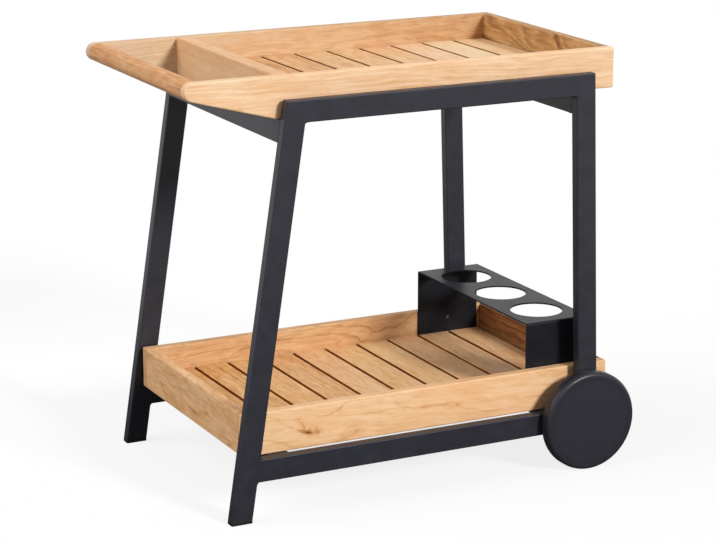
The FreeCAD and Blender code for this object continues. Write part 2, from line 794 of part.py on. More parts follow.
def make_bottle_holder():
    """One sheet bent down at both ends, with three holes in its top and a screw hole in each leg."""
    body = new_body("bottle_holder")
    sheet_depth = sizes.holder_sheet
    low, high = lower_floor, lower_floor + sizes.holder_height
    outer, inner = holder_face, holder_face - sheet_depth
    corners = [
        (-outer, low), (-inner, low), (-inner, high - sheet_depth), (inner, high - sheet_depth),
        (inner, low), (outer, low), (outer, high), (-outer, high),
    ]
    solid = pad(body, outline(body, "holder_profile", "YZ_Plane", corners), sizes.holder_depth)

    def bend(edge, height, reach):
        middle = edge.CenterOfMass
        level = abs(middle.z - height.value) < SAME_PLACE
        return runs_along(edge, ALONG["x"]) and level and abs(abs(middle.y) - reach.value) < SAME_PLACE

    outside = round_edges(body, solid, lambda edge: bend(edge, high, outer), sizes.holder_bend_radius)
    round_edges(body, outside, lambda edge: bend(edge, high - sheet_depth, inner),
                sizes.holder_bend_radius - sheet_depth)
    count = COUNTS["bottle_holes"]
    span = (outer - sizes.bottle_hole_margin - sizes.bottle_hole_radius) * 2
    for index in range(count):
        y = span * index / (count - 1) - span / 2
        at = (NOTHING, y, high - sheet_depth - sizes.cutter_overrun)
        drill(body, f"bottle_hole_{index + 1}", at, UPWARDS, sizes.bottle_hole_radius,
              sheet_depth + sizes.cutter_overrun * 2)
    start = -(outer + sizes.cutter_overrun)
    drill(body, "holder_screw_holes", (NOTHING, start, holder_screw_z), OUTWARDS["far"],
          sizes.holder_screw_radius + sizes.screw_fit, -start * 2)
    place(body, (holder_middle, NOTHING, NOTHING))


# Wheels
# A turned profile has its distance from the axle along X and its distance outwards along Y.
tyre_inner = sizes.wheel_radius - sizes.tyre_depth
bush_inner = sizes.axle_radius + sizes.running_fit
bush_outer = bush_inner + sizes.bush_wall
wheel_inside = sizes.wheel_gap
wheel_outside = sizes.wheel_gap + sizes.wheel_width
cover_inside = wheel_outside - sizes.cover_thickness
bolt_seat = cover_inside - sizes.bolt_head_clearance - sizes.bolt_head_thickness
hub_outside = bolt_seat - sizes.thrust_fit
rim_inner = tyre_inner - sizes.rim_thickness


def turned(label, side, corners):
    """A round piece from half of its section, on the axle of one wheel."""
    body = new_body(label)
    sketch = outline(body, label + "_section", "XY_Plane", corners)
    feature = body.newObject("PartDesign::Revolution", label + "_turned")
    feature.Profile = sketch
    feature.ReferenceAxis = (sketch, ["V_Axis"])
    doc.recompute()
    place(body, (axle_reach, frame_face * SIDES[side], axle_height), ABOUT_Z[side])
    return body, feature


def circle_at(edge, radius, depth):
    """True for a full circle of this radius at this distance outwards."""
    if not isinstance(edge.Curve, Part.Circle):
        return False
    same_radius = abs(edge.Curve.Radius - radius.value) < SAME_PLACE
    return same_radius and abs(edge.Curve.Center.y - depth.value) < SAME_PLACE


def make_wheel(side):
    inside, outside = wheel_inside, wheel_outside
    radius = sizes.wheel_radius
    body, band = turned(f"{side}_wheel_tyre", side, [
        (tyre_inner, inside), (radius, inside), (radius, outside), (tyre_inner, outside)])
    tyre_rounding = sizes.tyre_outer_rounding
    shoulder = round_edges(body, band, lambda edge: circle_at(edge, radius, outside), tyre_rounding)
    round_edges(body, shoulder, lambda edge: circle_at(edge, radius, inside), sizes.tyre_inner_rounding)

    rim_low = inside + sizes.rim_inset
    web_low = (rim_low + cover_inside - sizes.web_thickness) / 2
    web_high = web_low + sizes.web_thickness
    hub, _ = turned(f"{side}_wheel_hub", side, [
        (bush_outer, inside), (sizes.hub_radius, inside), (sizes.hub_radius, web_low), (rim_inner, web_low),
        (rim_inner, rim_low), (tyre_inner, rim_low), (tyre_inner, cover_inside), (rim_inner, cover_inside),
        (rim_inner, web_high), (sizes.hub_radius, web_high), (sizes.hub_radius, hub_outside),
        (bush_outer, hub_outside)])
    rib = outline(hub, f"{side}_rib", "XY_Plane", [
        (sizes.hub_radius - sizes.bush_wall / 2, rim_low), (rim_inner + sizes.rim_thickness / 2, rim_low),
        (rim_inner + sizes.rim_thickness / 2, web_low + sizes.web_thickness / 2),
        (sizes.hub_radius - sizes.bush_wall / 2, web_low + sizes.web_thickness / 2)])
    rib_pad = pad(hub, rib, sizes.rib_thickness)
    pattern = hub.newObject("PartDesign::PolarPattern", f"{side}_ribs")
    pattern.Originals = [rib_pad]
    pattern.Axis = (origin_feature(hub, "Y_Axis"), [""])
    bind(pattern, "Occurrences", sizes.wheel_ribs)
    hub.Tip = pattern
    doc.recompute()

    turned(f"{side}_wheel_bush", side, [
        (bush_inner, inside), (bush_outer, inside), (bush_outer, hub_outside), (bush_inner, hub_outside)])
    lip_outer = rim_inner - sizes.cover_fit
    lip_inner = lip_outer - sizes.cover_lip_thickness
    cover_radius = tyre_inner - sizes.cover_fit
    lip_low = cover_inside - sizes.cover_lip_depth
    turned(f"{side}_wheel_cover", side, [
        (NOTHING, cover_inside), (lip_inner, cover_inside), (lip_inner, lip_low), (lip_outer, lip_low),
        (lip_outer, cover_inside), (cover_radius, cover_inside), (cover_radius, outside), (NOTHING, outside)])


# Fasteners
# Identical ones are separate solids of one piece.
def group(label, shapes):
    """Several separate solids that share one name."""
    feature = doc.addObject("Part::Feature", label)
    feature.Shape = Part.makeCompound(shapes)
    feature.Label = label
    pieces.append(feature)


def spun(section, at, turn):
    """A solid turned about its own Z axis from points of radius and height, then placed."""
    points = [FreeCAD.Vector(radius, 0, height) for radius, height in section]
    face = Part.Face(Part.makePolygon(points + points[:1]))
    solid = face.revolve(FreeCAD.Vector(0, 0, 0), FreeCAD.Vector(0, 0, 1), 360)
    solid.Placement = FreeCAD.Placement(FreeCAD.Vector(*at), turn)
    return solid


def screw(at, turn, radius, length, head_radius, head_thickness):
    """A screw whose head rests at the given place and whose shank goes along +Z turned as asked."""
    edge = head_thickness / 2
    section = [
        (0, -head_thickness), (head_radius - edge, -head_thickness), (head_radius, -edge), (head_radius, 0),
        (radius, 0), (radius, length - radius), (0, length)]
    return spun(section, at, turn)


def make_tray_screws(screws):
    """Up through the cross tubes into the side boards."""
    bottoms = {"top": upper_crossbar_underside, "lower": lower_crossbar_underside}
    shapes = []
    for tray, xs in screws.items():
        for x in xs:
            for sign in SIDES.values():
                at = (x.value, sign * board_middle.value, bottoms[tray].value)
                shapes.append(screw(at, UPWARDS, sizes.tray_screw_radius.value, sizes.tray_screw_length.value,
                                    sizes.tray_screw_head_radius.value,
                                    sizes.tray_screw_head_thickness.value))
    group("tray_screws", shapes)


def make_slat_screws(middles):
    """Up through the battens into the slats, the heads sunk in their recesses."""
    bottoms = {"top": top_tray_underside, "lower": lower_tray_underside}
    floors = {"top": top_floor, "lower": lower_floor}
    shapes = []
    for tray, xs in middles.items():
        seat = bottoms[tray] + sizes.slat_screw_recess
        length = floors[tray] - sizes.slat_screw_cover - seat
        for x in xs:
            for sign in SIDES.values():
                at = (x.value, sign * batten_middle.value, seat.value)
                shapes.append(screw(at, UPWARDS, sizes.slat_screw_radius.value, length.value,
                                    sizes.slat_screw_head_radius.value,
                                    sizes.slat_screw_head_thickness.value))
    group("slat_screws", shapes)


def make_holder_screws():
    """From inside the holder's legs into the side boards."""
    start = holder_face - sizes.holder_sheet
    shapes = []
    for side, sign in SIDES.items():
        at = (holder_middle.value, sign * start.value, holder_screw_z.value)
        shapes.append(screw(at, OUTWARDS[side], sizes.holder_screw_radius.value,
                            sizes.holder_screw_length.value, sizes.holder_screw_head_radius.value,
                            sizes.holder_screw_head_thickness.value))
    group("holder_screws", shapes)


def make_axle_fasteners():
    """A bolt from inside each wheel through its leg's sleeve, and a nut on the leg's inner face."""
    radius, wide = sizes.axle_radius.value, sizes.bolt_head_radius.value
    head = sizes.bolt_head_thickness.value
    edge = head / 3
    seat = bolt_seat.value
    nut_depth = sizes.nut_thickness.value
    nut_end = -(sizes.tube_width + sizes.nut_thickness).value
    tail = nut_end - sizes.thread_past_nut.value
    section = [
        (0, tail), (radius - edge, tail), (radius, tail + edge), (radius, seat), (wide, seat),
        (wide, seat + head - edge), (wide - edge, seat + head), (0, seat + head)]
    corner = FreeCAD.Vector(sizes.nut_across_flats.value / math.sqrt(3), 0, nut_end)
    turns = [FreeCAD.Rotation(ALONG["z"], 360 * k / NUT_SIDES) for k in range(NUT_SIDES)]
    corners = [turn.multVec(corner) for turn in turns]
    hexagon = Part.Face(Part.makePolygon(corners + corners[:1])).extrude(ALONG["z"] * nut_depth)
    bore = Part.makeCylinder(radius + sizes.running_fit.value, nut_depth, FreeCAD.Vector(0, 0, nut_end))
    bolts, nuts = [], []
    for side, sign in SIDES.items():
        at = (axle_reach.value, sign * frame_face.value, axle_height.value)
        bolts.append(spun(section, at, OUTWARDS[side]))
        nut = hexagon.cut(bore)
        nut.Placement = FreeCAD.Placement(FreeCAD.Vector(*at), OUTWARDS[side])
        nuts.append(nut)
    group("axle_bolts", bolts)
    group("axle_nuts", nuts)


def check_document():
    """Stop if any object failed or any piece has no sound solid."""
    doc.recompute()
    for thing in doc.Objects:
        if "Invalid" in thing.State or "Error" in thing.State:
            raise RuntimeError(f"{thing.Name} failed: {thing.State}")
    for piece in pieces:
        if piece.Shape.isNull() or not piece.Shape.isValid() or not piece.Shape.Solids:
            raise RuntimeError(f"{piece.Label} has no valid shape")


def write_parts():
    box = FreeCAD.BoundBox()
    for piece in pieces:
        piece.Shape.exportStep(os.path.join("parts", piece.Label + ".step"))
        box.add(piece.Shape.optimalBoundingBox(False))
    print(f"{len(pieces)} pieces, {sum(len(piece.Shape.Solids) for piece in pieces)} solids")
    for axis in "XYZ":
        low, high = getattr(box, axis + "Min"), getattr(box, axis + "Max")
        print(f"{axis} {low:.2f} to {high:.2f}")


for each_side in SIDES:
    make_front_leg(each_side)
    make_rear_leg(each_side)
    make_top_rail(each_side)
    make_bottom_rail(each_side)
    make_foot_glide(each_side)
tray_screws = make_crossbars()
slat_middles = {"top": make_top_tray(tray_screws["top"]), "lower": make_lower_tray(tray_screws["lower"])}
make_bottle_holder()
for each_side in SIDES:
    make_wheel(each_side)
make_axle_fasteners()
make_tray_screws(tray_screws)
make_slat_screws(slat_middles)
make_holder_screws()
check_document()
write_parts()
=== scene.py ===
# %% [markdown]
# # A serving trolley in teak and black tube
# The trolley is two welded side frames of rectangular tube, two slatted teak trays hung between
# them, a bridge of bent sheet that holds three bottles, and two disc wheels at one end.
# Its solids come ready made from the CAD frame, so this lesson is about how they look: one
# material for each finish, the small turned parts as worked-out surfaces, and a plain studio.

import math

import bpy
import numpy as np
from mathutils import Matrix, Vector


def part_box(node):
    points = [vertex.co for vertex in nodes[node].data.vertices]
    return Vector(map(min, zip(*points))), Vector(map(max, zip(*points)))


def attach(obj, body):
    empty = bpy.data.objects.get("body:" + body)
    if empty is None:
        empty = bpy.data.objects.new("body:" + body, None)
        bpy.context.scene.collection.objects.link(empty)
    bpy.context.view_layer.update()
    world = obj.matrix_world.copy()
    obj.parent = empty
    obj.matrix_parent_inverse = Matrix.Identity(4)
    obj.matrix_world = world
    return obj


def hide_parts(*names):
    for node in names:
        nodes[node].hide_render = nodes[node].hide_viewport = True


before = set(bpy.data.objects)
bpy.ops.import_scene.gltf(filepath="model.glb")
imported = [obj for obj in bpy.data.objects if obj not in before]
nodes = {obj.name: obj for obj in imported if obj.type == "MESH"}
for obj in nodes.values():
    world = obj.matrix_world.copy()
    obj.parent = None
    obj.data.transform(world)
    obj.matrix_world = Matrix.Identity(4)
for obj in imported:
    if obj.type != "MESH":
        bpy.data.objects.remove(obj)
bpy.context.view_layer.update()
MM = 0.001

# %% [markdown]
# ## The camera
# A long lens from a little above the handle end, as a catalogue picture is taken. The place, the
# lens and the small shift were solved from straight edges of the object, to about half a pixel.

# %% Place the camera
WIDTH_PX, HEIGHT_PX = 716, 540
FOCAL_PX = 2404.6
CENTRE_PX = (392.72, 262.01)     # the point of the picture that the lens looks straight at
SENSOR_WIDTH = 36
CAMERA_PLACE = Vector((-1.9588, -3.9278, 1.5238))
AZIMUTH, ELEVATION, ROLL = (math.radians(a) for a in (-27.39, 14.64, 0.20))

back = Vector((math.sin(AZIMUTH) * math.cos(ELEVATION), -math.cos(AZIMUTH) * math.cos(ELEVATION),
               math.sin(ELEVATION)))
level_right = (-back).cross(Vector((0, 0, 1))).normalized()
level_up = back.cross(level_right)
right = level_right * math.cos(ROLL) + level_up * math.sin(ROLL)
up = level_up * math.cos(ROLL) - level_right * math.sin(ROLL)

camera_data = bpy.data.cameras.new("camera")
camera_data.sensor_width = SENSOR_WIDTH
camera_data.lens = FOCAL_PX / WIDTH_PX * SENSOR_WIDTH
camera_data.shift_x = (WIDTH_PX / 2 - CENTRE_PX[0]) / WIDTH_PX
camera_data.shift_y = (CENTRE_PX[1] - HEIGHT_PX / 2) / WIDTH_PX
camera = bpy.data.objects.new("camera", camera_data)
facing = Matrix((right, up, back)).transposed().to_4x4()
camera.matrix_world = Matrix.Translation(CAMERA_PLACE) @ facing
bpy.context.scene.collection.objects.link(camera)
bpy.context.scene.camera = camera
bpy.context.scene.view_settings.view_transform = "Standard"
print("lens", round(camera_data.lens, 1), "mm, shift", round(camera_data.shift_x, 4),
      round(camera_data.shift_y, 4))

# %% [markdown]
# ## Two small helpers
# Colours are picked as screen values, so one function turns a hex value into the linear light
# that the shader works in. A node tree is easier to read when each node is one call.

# %% Colour and node helpers
def linear(hex_colour):
    """Screen value to linear light: the standard curve, a straight foot and then a power of 2.4."""
    screen = np.array([int(hex_colour[i:i + 2], 16) for i in (1, 3, 5)]) / 255
    light = np.where(screen <= 0.04045, screen / 12.92, ((screen + 0.055) / 1.055) ** 2.4)
    return (*light.tolist(), 1.0)


def add_node(tree, kind, settings=None, inputs=None, output=0):
    """Adds one node with its settings; a socket given as an input is linked, a value is set."""
    node = tree.nodes.new(kind)
    for name, value in (settings or {}).items():
        setattr(node, name, value)
    for key, value in (inputs or {}).items():
        if isinstance(value, bpy.types.NodeSocket):
            tree.links.new(value, node.inputs[key])
        else:
            node.inputs[key].default_value = value
    return node.outputs[output] if len(node.outputs) else node


def new_material(name):
    """An empty material with its node tree."""
    material = bpy.data.materials.new(name)
    material.use_nodes = True
    material.node_tree.nodes.clear()
    return material, material.node_tree


print("mid grey #808080 is", round(linear("#808080")[0], 3), "in linear light")

# %% [markdown]
# ## The studio
# A white floor that runs to the horizon under a white dome, a narrow lamp on the right front that
# throws the shadows of the legs, and a broad one high on the left. The floor and the dome are seen
# as white by the camera, but light the object more softly, so that its shaded sides keep depth.

# %% How strong the light is
DOME_LIGHT = 0.20        # as a share of the white that the camera sees
# Each lamp: its strength, how wide it looks in degrees, and the way to it.
LAMPS = {
    "right_lamp": (2.75, 12, Vector((0.30, -0.85, 0.43))),
    "left_lamp": (1.85, 50, Vector((-0.86, 0.16, 0.76))),
}
floor_level = DOME_LIGHT + sum(strength * way.normalized().z / math.pi
                               for strength, _, way in LAMPS.values())
print("level floor light", round(floor_level, 3))


# %% The dome
def seen_or_mirrored(tree):
    """1 for a ray from the camera, a mirror or clear glass, and 0 for a ray that gathers light."""
    path = add_node(tree, "ShaderNodeLightPath").node
    either = add_node(tree, "ShaderNodeMath", {"operation": "MAXIMUM"},
                      {0: path.outputs["Is Camera Ray"], 1: path.outputs["Is Glossy Ray"]})
    return add_node(tree, "ShaderNodeMath", {"operation": "MAXIMUM"},
                    {0: either, 1: path.outputs["Is Transmission Ray"]})


world = bpy.data.worlds.new("studio dome")
world.use_nodes = True
sky = world.node_tree
sky.nodes.clear()
dome_strength = add_node(sky, "ShaderNodeMapRange", {},
                         {"Value": seen_or_mirrored(sky), "To Min": DOME_LIGHT, "To Max": 1.0})
dome = add_node(sky, "ShaderNodeBackground", {},
                {"Color": linear("#FFFFFF"), "Strength": dome_strength})
add_node(sky, "ShaderNodeOutputWorld", {}, {"Surface": dome})
bpy.context.scene.world = world
print("dome of", len(sky.nodes), "nodes")

# %% [markdown]
# The floor is part paint and part glow where it is looked at: enough paint is left to keep the
# object's shadow. In gloss it is darker close to the object, which keeps light off it, and that
# leaves the lowest tubes darker than the top ones.

# %% The floor
FLOOR_SIZE = 60.0
half = FLOOR_SIZE / 2
floor_mesh = bpy.data.meshes.new("floor")
floor_mesh.from_pydata([(-half, -half, 0), (half, -half, 0), (half, half, 0), (-half, half, 0)],
                       [], [(0, 1, 2, 3)])
floor = bpy.data.objects.new("floor", floor_mesh)
bpy.context.scene.collection.objects.link(floor)

PAINT = 0.18                             # how much of the floor's white is paint; the rest glows
DARK_TO, WHITE_FROM = 0.5, 3.2           # in gloss: metres from the object's middle
DARKEST = 0.05
WHERE_IT_LIGHTS = (0.35, 0.345, 0.34, 1)     # its paint for the rays that gather light
floor_material, tree = new_material("matt studio floor")
paint = add_node(tree, "ShaderNodeBsdfDiffuse", {}, {"Color": (PAINT, PAINT, PAINT, 1)})
glow = add_node(tree, "ShaderNodeEmission", {}, {"Strength": 1 - PAINT * floor_level})
open_floor = add_node(tree, "ShaderNodeAddShader", {}, {0: paint, 1: glow})
from_middle = add_node(tree, "ShaderNodeVectorMath", {"operation": "LENGTH"},
                       {0: add_node(tree, "ShaderNodeTexCoord", {}, {}, "Object")}, "Value")
pool = add_node(tree, "ShaderNodeMapRange", {"interpolation_type": "SMOOTHSTEP"},
                {"Value": from_middle, "From Min": DARK_TO, "From Max": WHITE_FROM,
                 "To Min": DARKEST, "To Max": 1.0})
mirrored_floor = add_node(tree, "ShaderNodeEmission", {}, {"Strength": pool})
in_gloss = add_node(tree, "ShaderNodeLightPath").node.outputs["Is Glossy Ray"]
looked_at = add_node(tree, "ShaderNodeMixShader", {},
                     {0: in_gloss, 1: open_floor, 2: mirrored_floor})
lighting = add_node(tree, "ShaderNodeBsdfDiffuse", {}, {"Color": WHERE_IT_LIGHTS})
either_way = add_node(tree, "ShaderNodeMixShader", {},
                      {0: seen_or_mirrored(tree), 1: lighting, 2: looked_at})
add_node(tree, "ShaderNodeOutputMaterial", {}, {"Surface": either_way})
floor_mesh.materials.append(floor_material)
print("floor glows at", round(1 - PAINT * floor_level, 3))

# %% The lamps
for name, (strength, width, way) in LAMPS.items():
    lamp_data = bpy.data.lights.new(name, "SUN")
    lamp_data.energy = strength
    lamp_data.angle = math.radians(width)
    lamp = bpy.data.objects.new(name, lamp_data)
    lamp.rotation_mode = "QUATERNION"
    lamp.rotation_quaternion = way.to_track_quat("Z", "Y")
    bpy.context.scene.collection.objects.link(lamp)
    print(name, strength, "over", width, "degrees")

# %% [markdown]
# ## Teak
# The boards are sanded, lightly oiled plantation teak. To the eye that is a warm honey ground with
# darker growth lines, straight where the board was cut towards the heart of the log and arched
# where it was cut across it, fine dark pores along the grain, and every board its own shade.
# A picture would show the same figure on all faces. This figure is a solid one instead: each
# board is cut out of its own log, so lines run on round the edges and end as rings on the ends.
# It is one group of nodes that all boards share, with the log's heart as its X axis.

# %% What the figure is told, and what it gives
SOCKETS = {
    "INPUT": {"Place": "Vector", "Tone": "Float", "Rings": "Float", "Streaks": "Float",
              "Patches": "Float", "Veins": "Float", "Tint": "Color", "Knot": "Vector",
              "Knot size": "Float"},
    "OUTPUT": {"Colour": "Color", "Relief": "Float", "Roughness": "Float"},
}
teak = bpy.data.node_groups.new("teak figure", "ShaderNodeTree")
for in_or_out, sockets in SOCKETS.items():
    for name, kind in sockets.items():
        teak.interface.new_socket(name, in_out=in_or_out, socket_type=f"NodeSocket{kind}")
given = teak.nodes.new("NodeGroupInput").outputs
print("teak figure is told:", ", ".join(SOCKETS["INPUT"]))

# %% [markdown]
# ### Straying lines
# A tree leans and twists as it grows, so no line in it keeps a straight course. Noise that is
# stretched along the grain moves each point a little before anything is drawn there.

# %% Bend the course of the lines
WAVE, WAVE_ACROSS = 110.0 * MM, 45.0 * MM    # how far along and across before they change course
WANDER = 9.0 * MM                            # how far they stray
slow = add_node(teak, "ShaderNodeVectorMath", {"operation": "MULTIPLY"},
                {0: given["Place"], 1: (1 / WAVE, 1 / WAVE_ACROSS, 1 / WAVE_ACROSS)})
drift = add_node(teak, "ShaderNodeTexNoise", {},
                 {"Vector": slow, "Scale": 1.0, "Detail": 1.5}, "Color")
centred = add_node(teak, "ShaderNodeVectorMath", {"operation": "SUBTRACT"},
                   {0: drift, 1: (0.5, 0.5, 0.5)})
stray = add_node(teak, "ShaderNodeVectorMath", {"operation": "MULTIPLY"},
                 {0: centred, 1: (0, WANDER * 2, WANDER * 2)})
bent = add_node(teak, "ShaderNodeVectorMath", {"operation": "ADD"}, {0: given["Place"], 1: stray})
print("lines stray by up to", round(WANDER / MM), "mm")

# %% [markdown]
# ### A knot
# A branch leaves a knot, and the lines part round it. So a bell stands on the knot's centre, longer
# along the grain, and moves the count of the rings where it is high.

# %% The bell round a knot
KNOT_ALONG = 0.4         # distances along the grain count for less, which makes the bell longer
from_knot = add_node(teak, "ShaderNodeVectorMath", {"operation": "SUBTRACT"},
                     {0: given["Place"], 1: given["Knot"]})
flattened = add_node(teak, "ShaderNodeVectorMath", {"operation": "MULTIPLY"},
                     {0: from_knot, 1: (KNOT_ALONG, 1, 1)})
knot_distance = add_node(teak, "ShaderNodeVectorMath", {"operation": "LENGTH"},
                         {0: flattened}, "Value")
knot_ratio = add_node(teak, "ShaderNodeMath", {"operation": "DIVIDE"},
                      {0: knot_distance, 1: given["Knot size"]})
squared = add_node(teak, "ShaderNodeMath", {"operation": "POWER"}, {0: knot_ratio, 1: 2.0})
negative = add_node(teak, "ShaderNodeMath", {"operation": "MULTIPLY"}, {0: squared, 1: -0.5})
bell = add_node(teak, "ShaderNodeMath", {"operation": "EXPONENT"}, {0: negative})
print("a knot reaches", 1 / KNOT_ALONG, "times as far along the grain")

# %% [markdown]
# ### Growth rings
# One ring is one year. It darkens slowly and ends fast, as the tree's growth does before the dry
# season, and a dry year leaves a darker line than a wet one. So the distance from the heart is
# counted in rings: the whole number picks how dark, and the rest is the place within the ring.

# %% Rings
RING = 6.0 * MM
KNOT_PUSH = 1.4                      # how many rings a knot pushes the lines aside
DARK_AT, PALE_AFTER = 0.70, 0.72     # places within a ring
across = add_node(teak, "ShaderNodeVectorMath", {"operation": "MULTIPLY"}, {0: bent, 1: (0, 1, 1)})
heart_distance = add_node(teak, "ShaderNodeVectorMath", {"operation": "LENGTH"},
                          {0: across}, "Value")
counted = add_node(teak, "ShaderNodeMath", {"operation": "DIVIDE"}, {0: heart_distance, 1: RING})
pushed = add_node(teak, "ShaderNodeMath", {"operation": "MULTIPLY_ADD"},
                  {0: bell, 1: KNOT_PUSH, 2: counted})
within = add_node(teak, "ShaderNodeMath", {"operation": "FRACT"}, {0: pushed})
year = add_node(teak, "ShaderNodeMath", {"operation": "FLOOR"}, {0: pushed})
dryness = add_node(teak, "ShaderNodeTexWhiteNoise", {"noise_dimensions": "1D"},
                   {"W": year}, "Value")
year_weight = add_node(teak, "ShaderNodeMath", {"operation": "POWER"}, {0: dryness, 1: 2.0})
rise = add_node(teak, "ShaderNodeMapRange", {"interpolation_type": "SMOOTHSTEP"},
                {"Value": within, "From Min": 0.0, "From Max": DARK_AT})
fall = add_node(teak, "ShaderNodeMapRange", {"interpolation_type": "SMOOTHSTEP"},
                {"Value": within, "From Min": PALE_AFTER, "From Max": 1.0,
                 "To Min": 1.0, "To Max": 0.0})
line = add_node(teak, "ShaderNodeMath", {"operation": "MULTIPLY"}, {0: rise, 1: fall})
weighted = add_node(teak, "ShaderNodeMath", {"operation": "MULTIPLY"}, {0: line, 1: year_weight})
rings = add_node(teak, "ShaderNodeMath", {"operation": "MULTIPLY"},
                 {0: weighted, 1: given["Rings"]})
print("rings", RING / MM, "mm apart")

# %% [markdown]
# ### Fibres, pores and patches
# Bands of fibre are a little darker or paler than the next, pores are short fine grooves, and soft
# patches come where the board takes up more oil. All three are noise drawn out along the grain.

# %% Three noises along the grain
# Each: its length and width, the noise's own settings, and how much it moves the shade. Real
# pores are a quarter as wide; they are drawn coarser, or they wouldn't show.
ALONG_GRAIN = {
    "streaks": (260.0 * MM, 5.0 * MM, {"Detail": 3.0, "Roughness": 0.62}, given["Streaks"]),
    "pores": (28.0 * MM, 1.1 * MM, {"Detail": 2.0}, 0.22),
    "patches": (34.0 * MM, 11.0 * MM, {"Detail": 2.5, "Distortion": 0.6}, given["Patches"]),
}
noises, tones = {}, {}
for name, (length, width, character, strength) in ALONG_GRAIN.items():
    drawn_out = add_node(teak, "ShaderNodeVectorMath", {"operation": "MULTIPLY"},
                         {0: bent, 1: (1 / length, 1 / width, 1 / width)})
    noises[name] = add_node(teak, "ShaderNodeTexNoise", {},
                            {"Vector": drawn_out, "Scale": 1.0, **character}, "Fac")
    about_zero = add_node(teak, "ShaderNodeMath", {"operation": "SUBTRACT"},
                          {0: noises[name], 1: 0.5})
    tones[name] = add_node(teak, "ShaderNodeMath", {"operation": "MULTIPLY"},
                           {0: about_zero, 1: strength})
    print(name, round(length / MM), "by", round(width / MM, 1), "mm")

# %% [markdown]
# ### Mineral lines
# Minerals leave thin brown lines that wander through teak, with a soft shade beside them, and only
# here and there. They are counted across the grain as the rings are, but noise bends them much
# further, and a second noise lets them show in places.

# %% Mineral lines
VEIN, VEIN_ACROSS = 120.0 * MM, 70.0 * MM    # how far a line wanders before it turns
VEIN_APART = 52.0 * MM                       # from one line to the next
VEIN_BEND = 3.2                              # how many of those steps the noise moves a line
LINE_REACH, LINE_DARK = 0.022, 0.8           # half a line's width, in steps, and how dark it is
SHADE_REACH, SHADE_DARK = 0.16, 0.35         # the same for the soft shade beside it
HIDDEN_TO, SHOWN_FROM = 0.40, 0.54           # values of the second noise
winding = add_node(teak, "ShaderNodeVectorMath", {"operation": "MULTIPLY"},
                   {0: given["Place"], 1: (1 / VEIN, 1 / VEIN_ACROSS, 1 / VEIN_ACROSS)})
course = add_node(teak, "ShaderNodeTexNoise", {},
                  {"Vector": winding, "Scale": 1.0, "Detail": 3.0, "Roughness": 0.45}, "Fac")
steps_across = add_node(teak, "ShaderNodeVectorMath", {"operation": "DOT_PRODUCT"},
                        {0: given["Place"], 1: (0, 1 / VEIN_APART, 1 / VEIN_APART)}, "Value")
bent_steps = add_node(teak, "ShaderNodeMath", {"operation": "MULTIPLY_ADD"},
                      {0: course, 1: VEIN_BEND, 2: steps_across})
off_line = add_node(teak, "ShaderNodeMath", {"operation": "PINGPONG"}, {0: bent_steps, 1: 0.5})
thin_line, soft_shade = (
    add_node(teak, "ShaderNodeMapRange", {"interpolation_type": "SMOOTHSTEP"},
             {"Value": off_line, "From Max": reach, "To Min": dark, "To Max": 0.0})
    for reach, dark in ((LINE_REACH, LINE_DARK), (SHADE_REACH, SHADE_DARK)))
both = add_node(teak, "ShaderNodeMath", {"operation": "ADD"}, {0: thin_line, 1: soft_shade})
second = add_node(teak, "ShaderNodeTexNoise", {"noise_dimensions": "4D"},
                  {"Vector": winding, "W": 3.0, "Scale": 0.9, "Detail": 1.5}, "Fac")
here = add_node(teak, "ShaderNodeMapRange", {},
                {"Value": second, "From Min": HIDDEN_TO, "From Max": SHOWN_FROM})
broken = add_node(teak, "ShaderNodeMath", {"operation": "MULTIPLY"}, {0: both, 1: here})
veins = add_node(teak, "ShaderNodeMath", {"operation": "MULTIPLY"}, {0: broken, 1: given["Veins"]})
print("mineral lines", round(VEIN_APART / MM), "mm apart before they bend")

# %% [markdown]
# ### From shade to colour
# The board's own tone and all of these add up to one shade, from pale at 0 to dark at 1, with a
# ragged dark spot at the knot. A ramp turns the shade into colour. Then the ground drifts between a
# yellower and a pinker honey, and each board has a tint over it.

# %% Shade and colour
KNOT_EDGE = 15.0 * MM                # how coarse the ragged edge of a knot is
KNOT_RAGGED = 2.2                    # how far noise moves that edge, in sizes of the knot
KNOT_DARK, KNOT_GONE = 0.9, 2.3      # from where to where the spot fades, in sizes of the knot
SHADES = {0.0: "#FADDB9", 0.35: "#EABE8E", 0.62: "#CB965F", 1.0: "#7C4B27"}
PINKER, MOST_PINK = "#FFE9DC", 0.45
knot_noise = add_node(teak, "ShaderNodeTexNoise", {},
                      {"Vector": given["Place"], "Scale": 1 / KNOT_EDGE, "Detail": 3.0}, "Fac")
ragged = add_node(teak, "ShaderNodeMath", {"operation": "MULTIPLY_ADD"},
                  {0: knot_noise, 1: KNOT_RAGGED, 2: knot_ratio})
knot_spot = add_node(teak, "ShaderNodeMapRange", {"interpolation_type": "SMOOTHSTEP"},
                     {"Value": ragged, "From Min": KNOT_DARK, "From Max": KNOT_GONE,
                      "To Min": 1.0, "To Max": 0.0})
knot_heart = add_node(teak, "ShaderNodeMath", {"operation": "MULTIPLY"},
                      {0: knot_spot, 1: noises["streaks"]})
shade = given["Tone"]
for part in (rings, *tones.values(), veins, knot_heart):
    shade = add_node(teak, "ShaderNodeMath", {"operation": "ADD"}, {0: shade, 1: part})
ramp = add_node(teak, "ShaderNodeValToRGB", {}, {"Fac": shade}, "Color")
stops = ramp.node.color_ramp.elements
for place, colour in SHADES.items():
    stop = stops[0] if place == 0.0 else stops[-1] if place == 1.0 else stops.new(place)
    stop.position, stop.color = place, linear(colour)

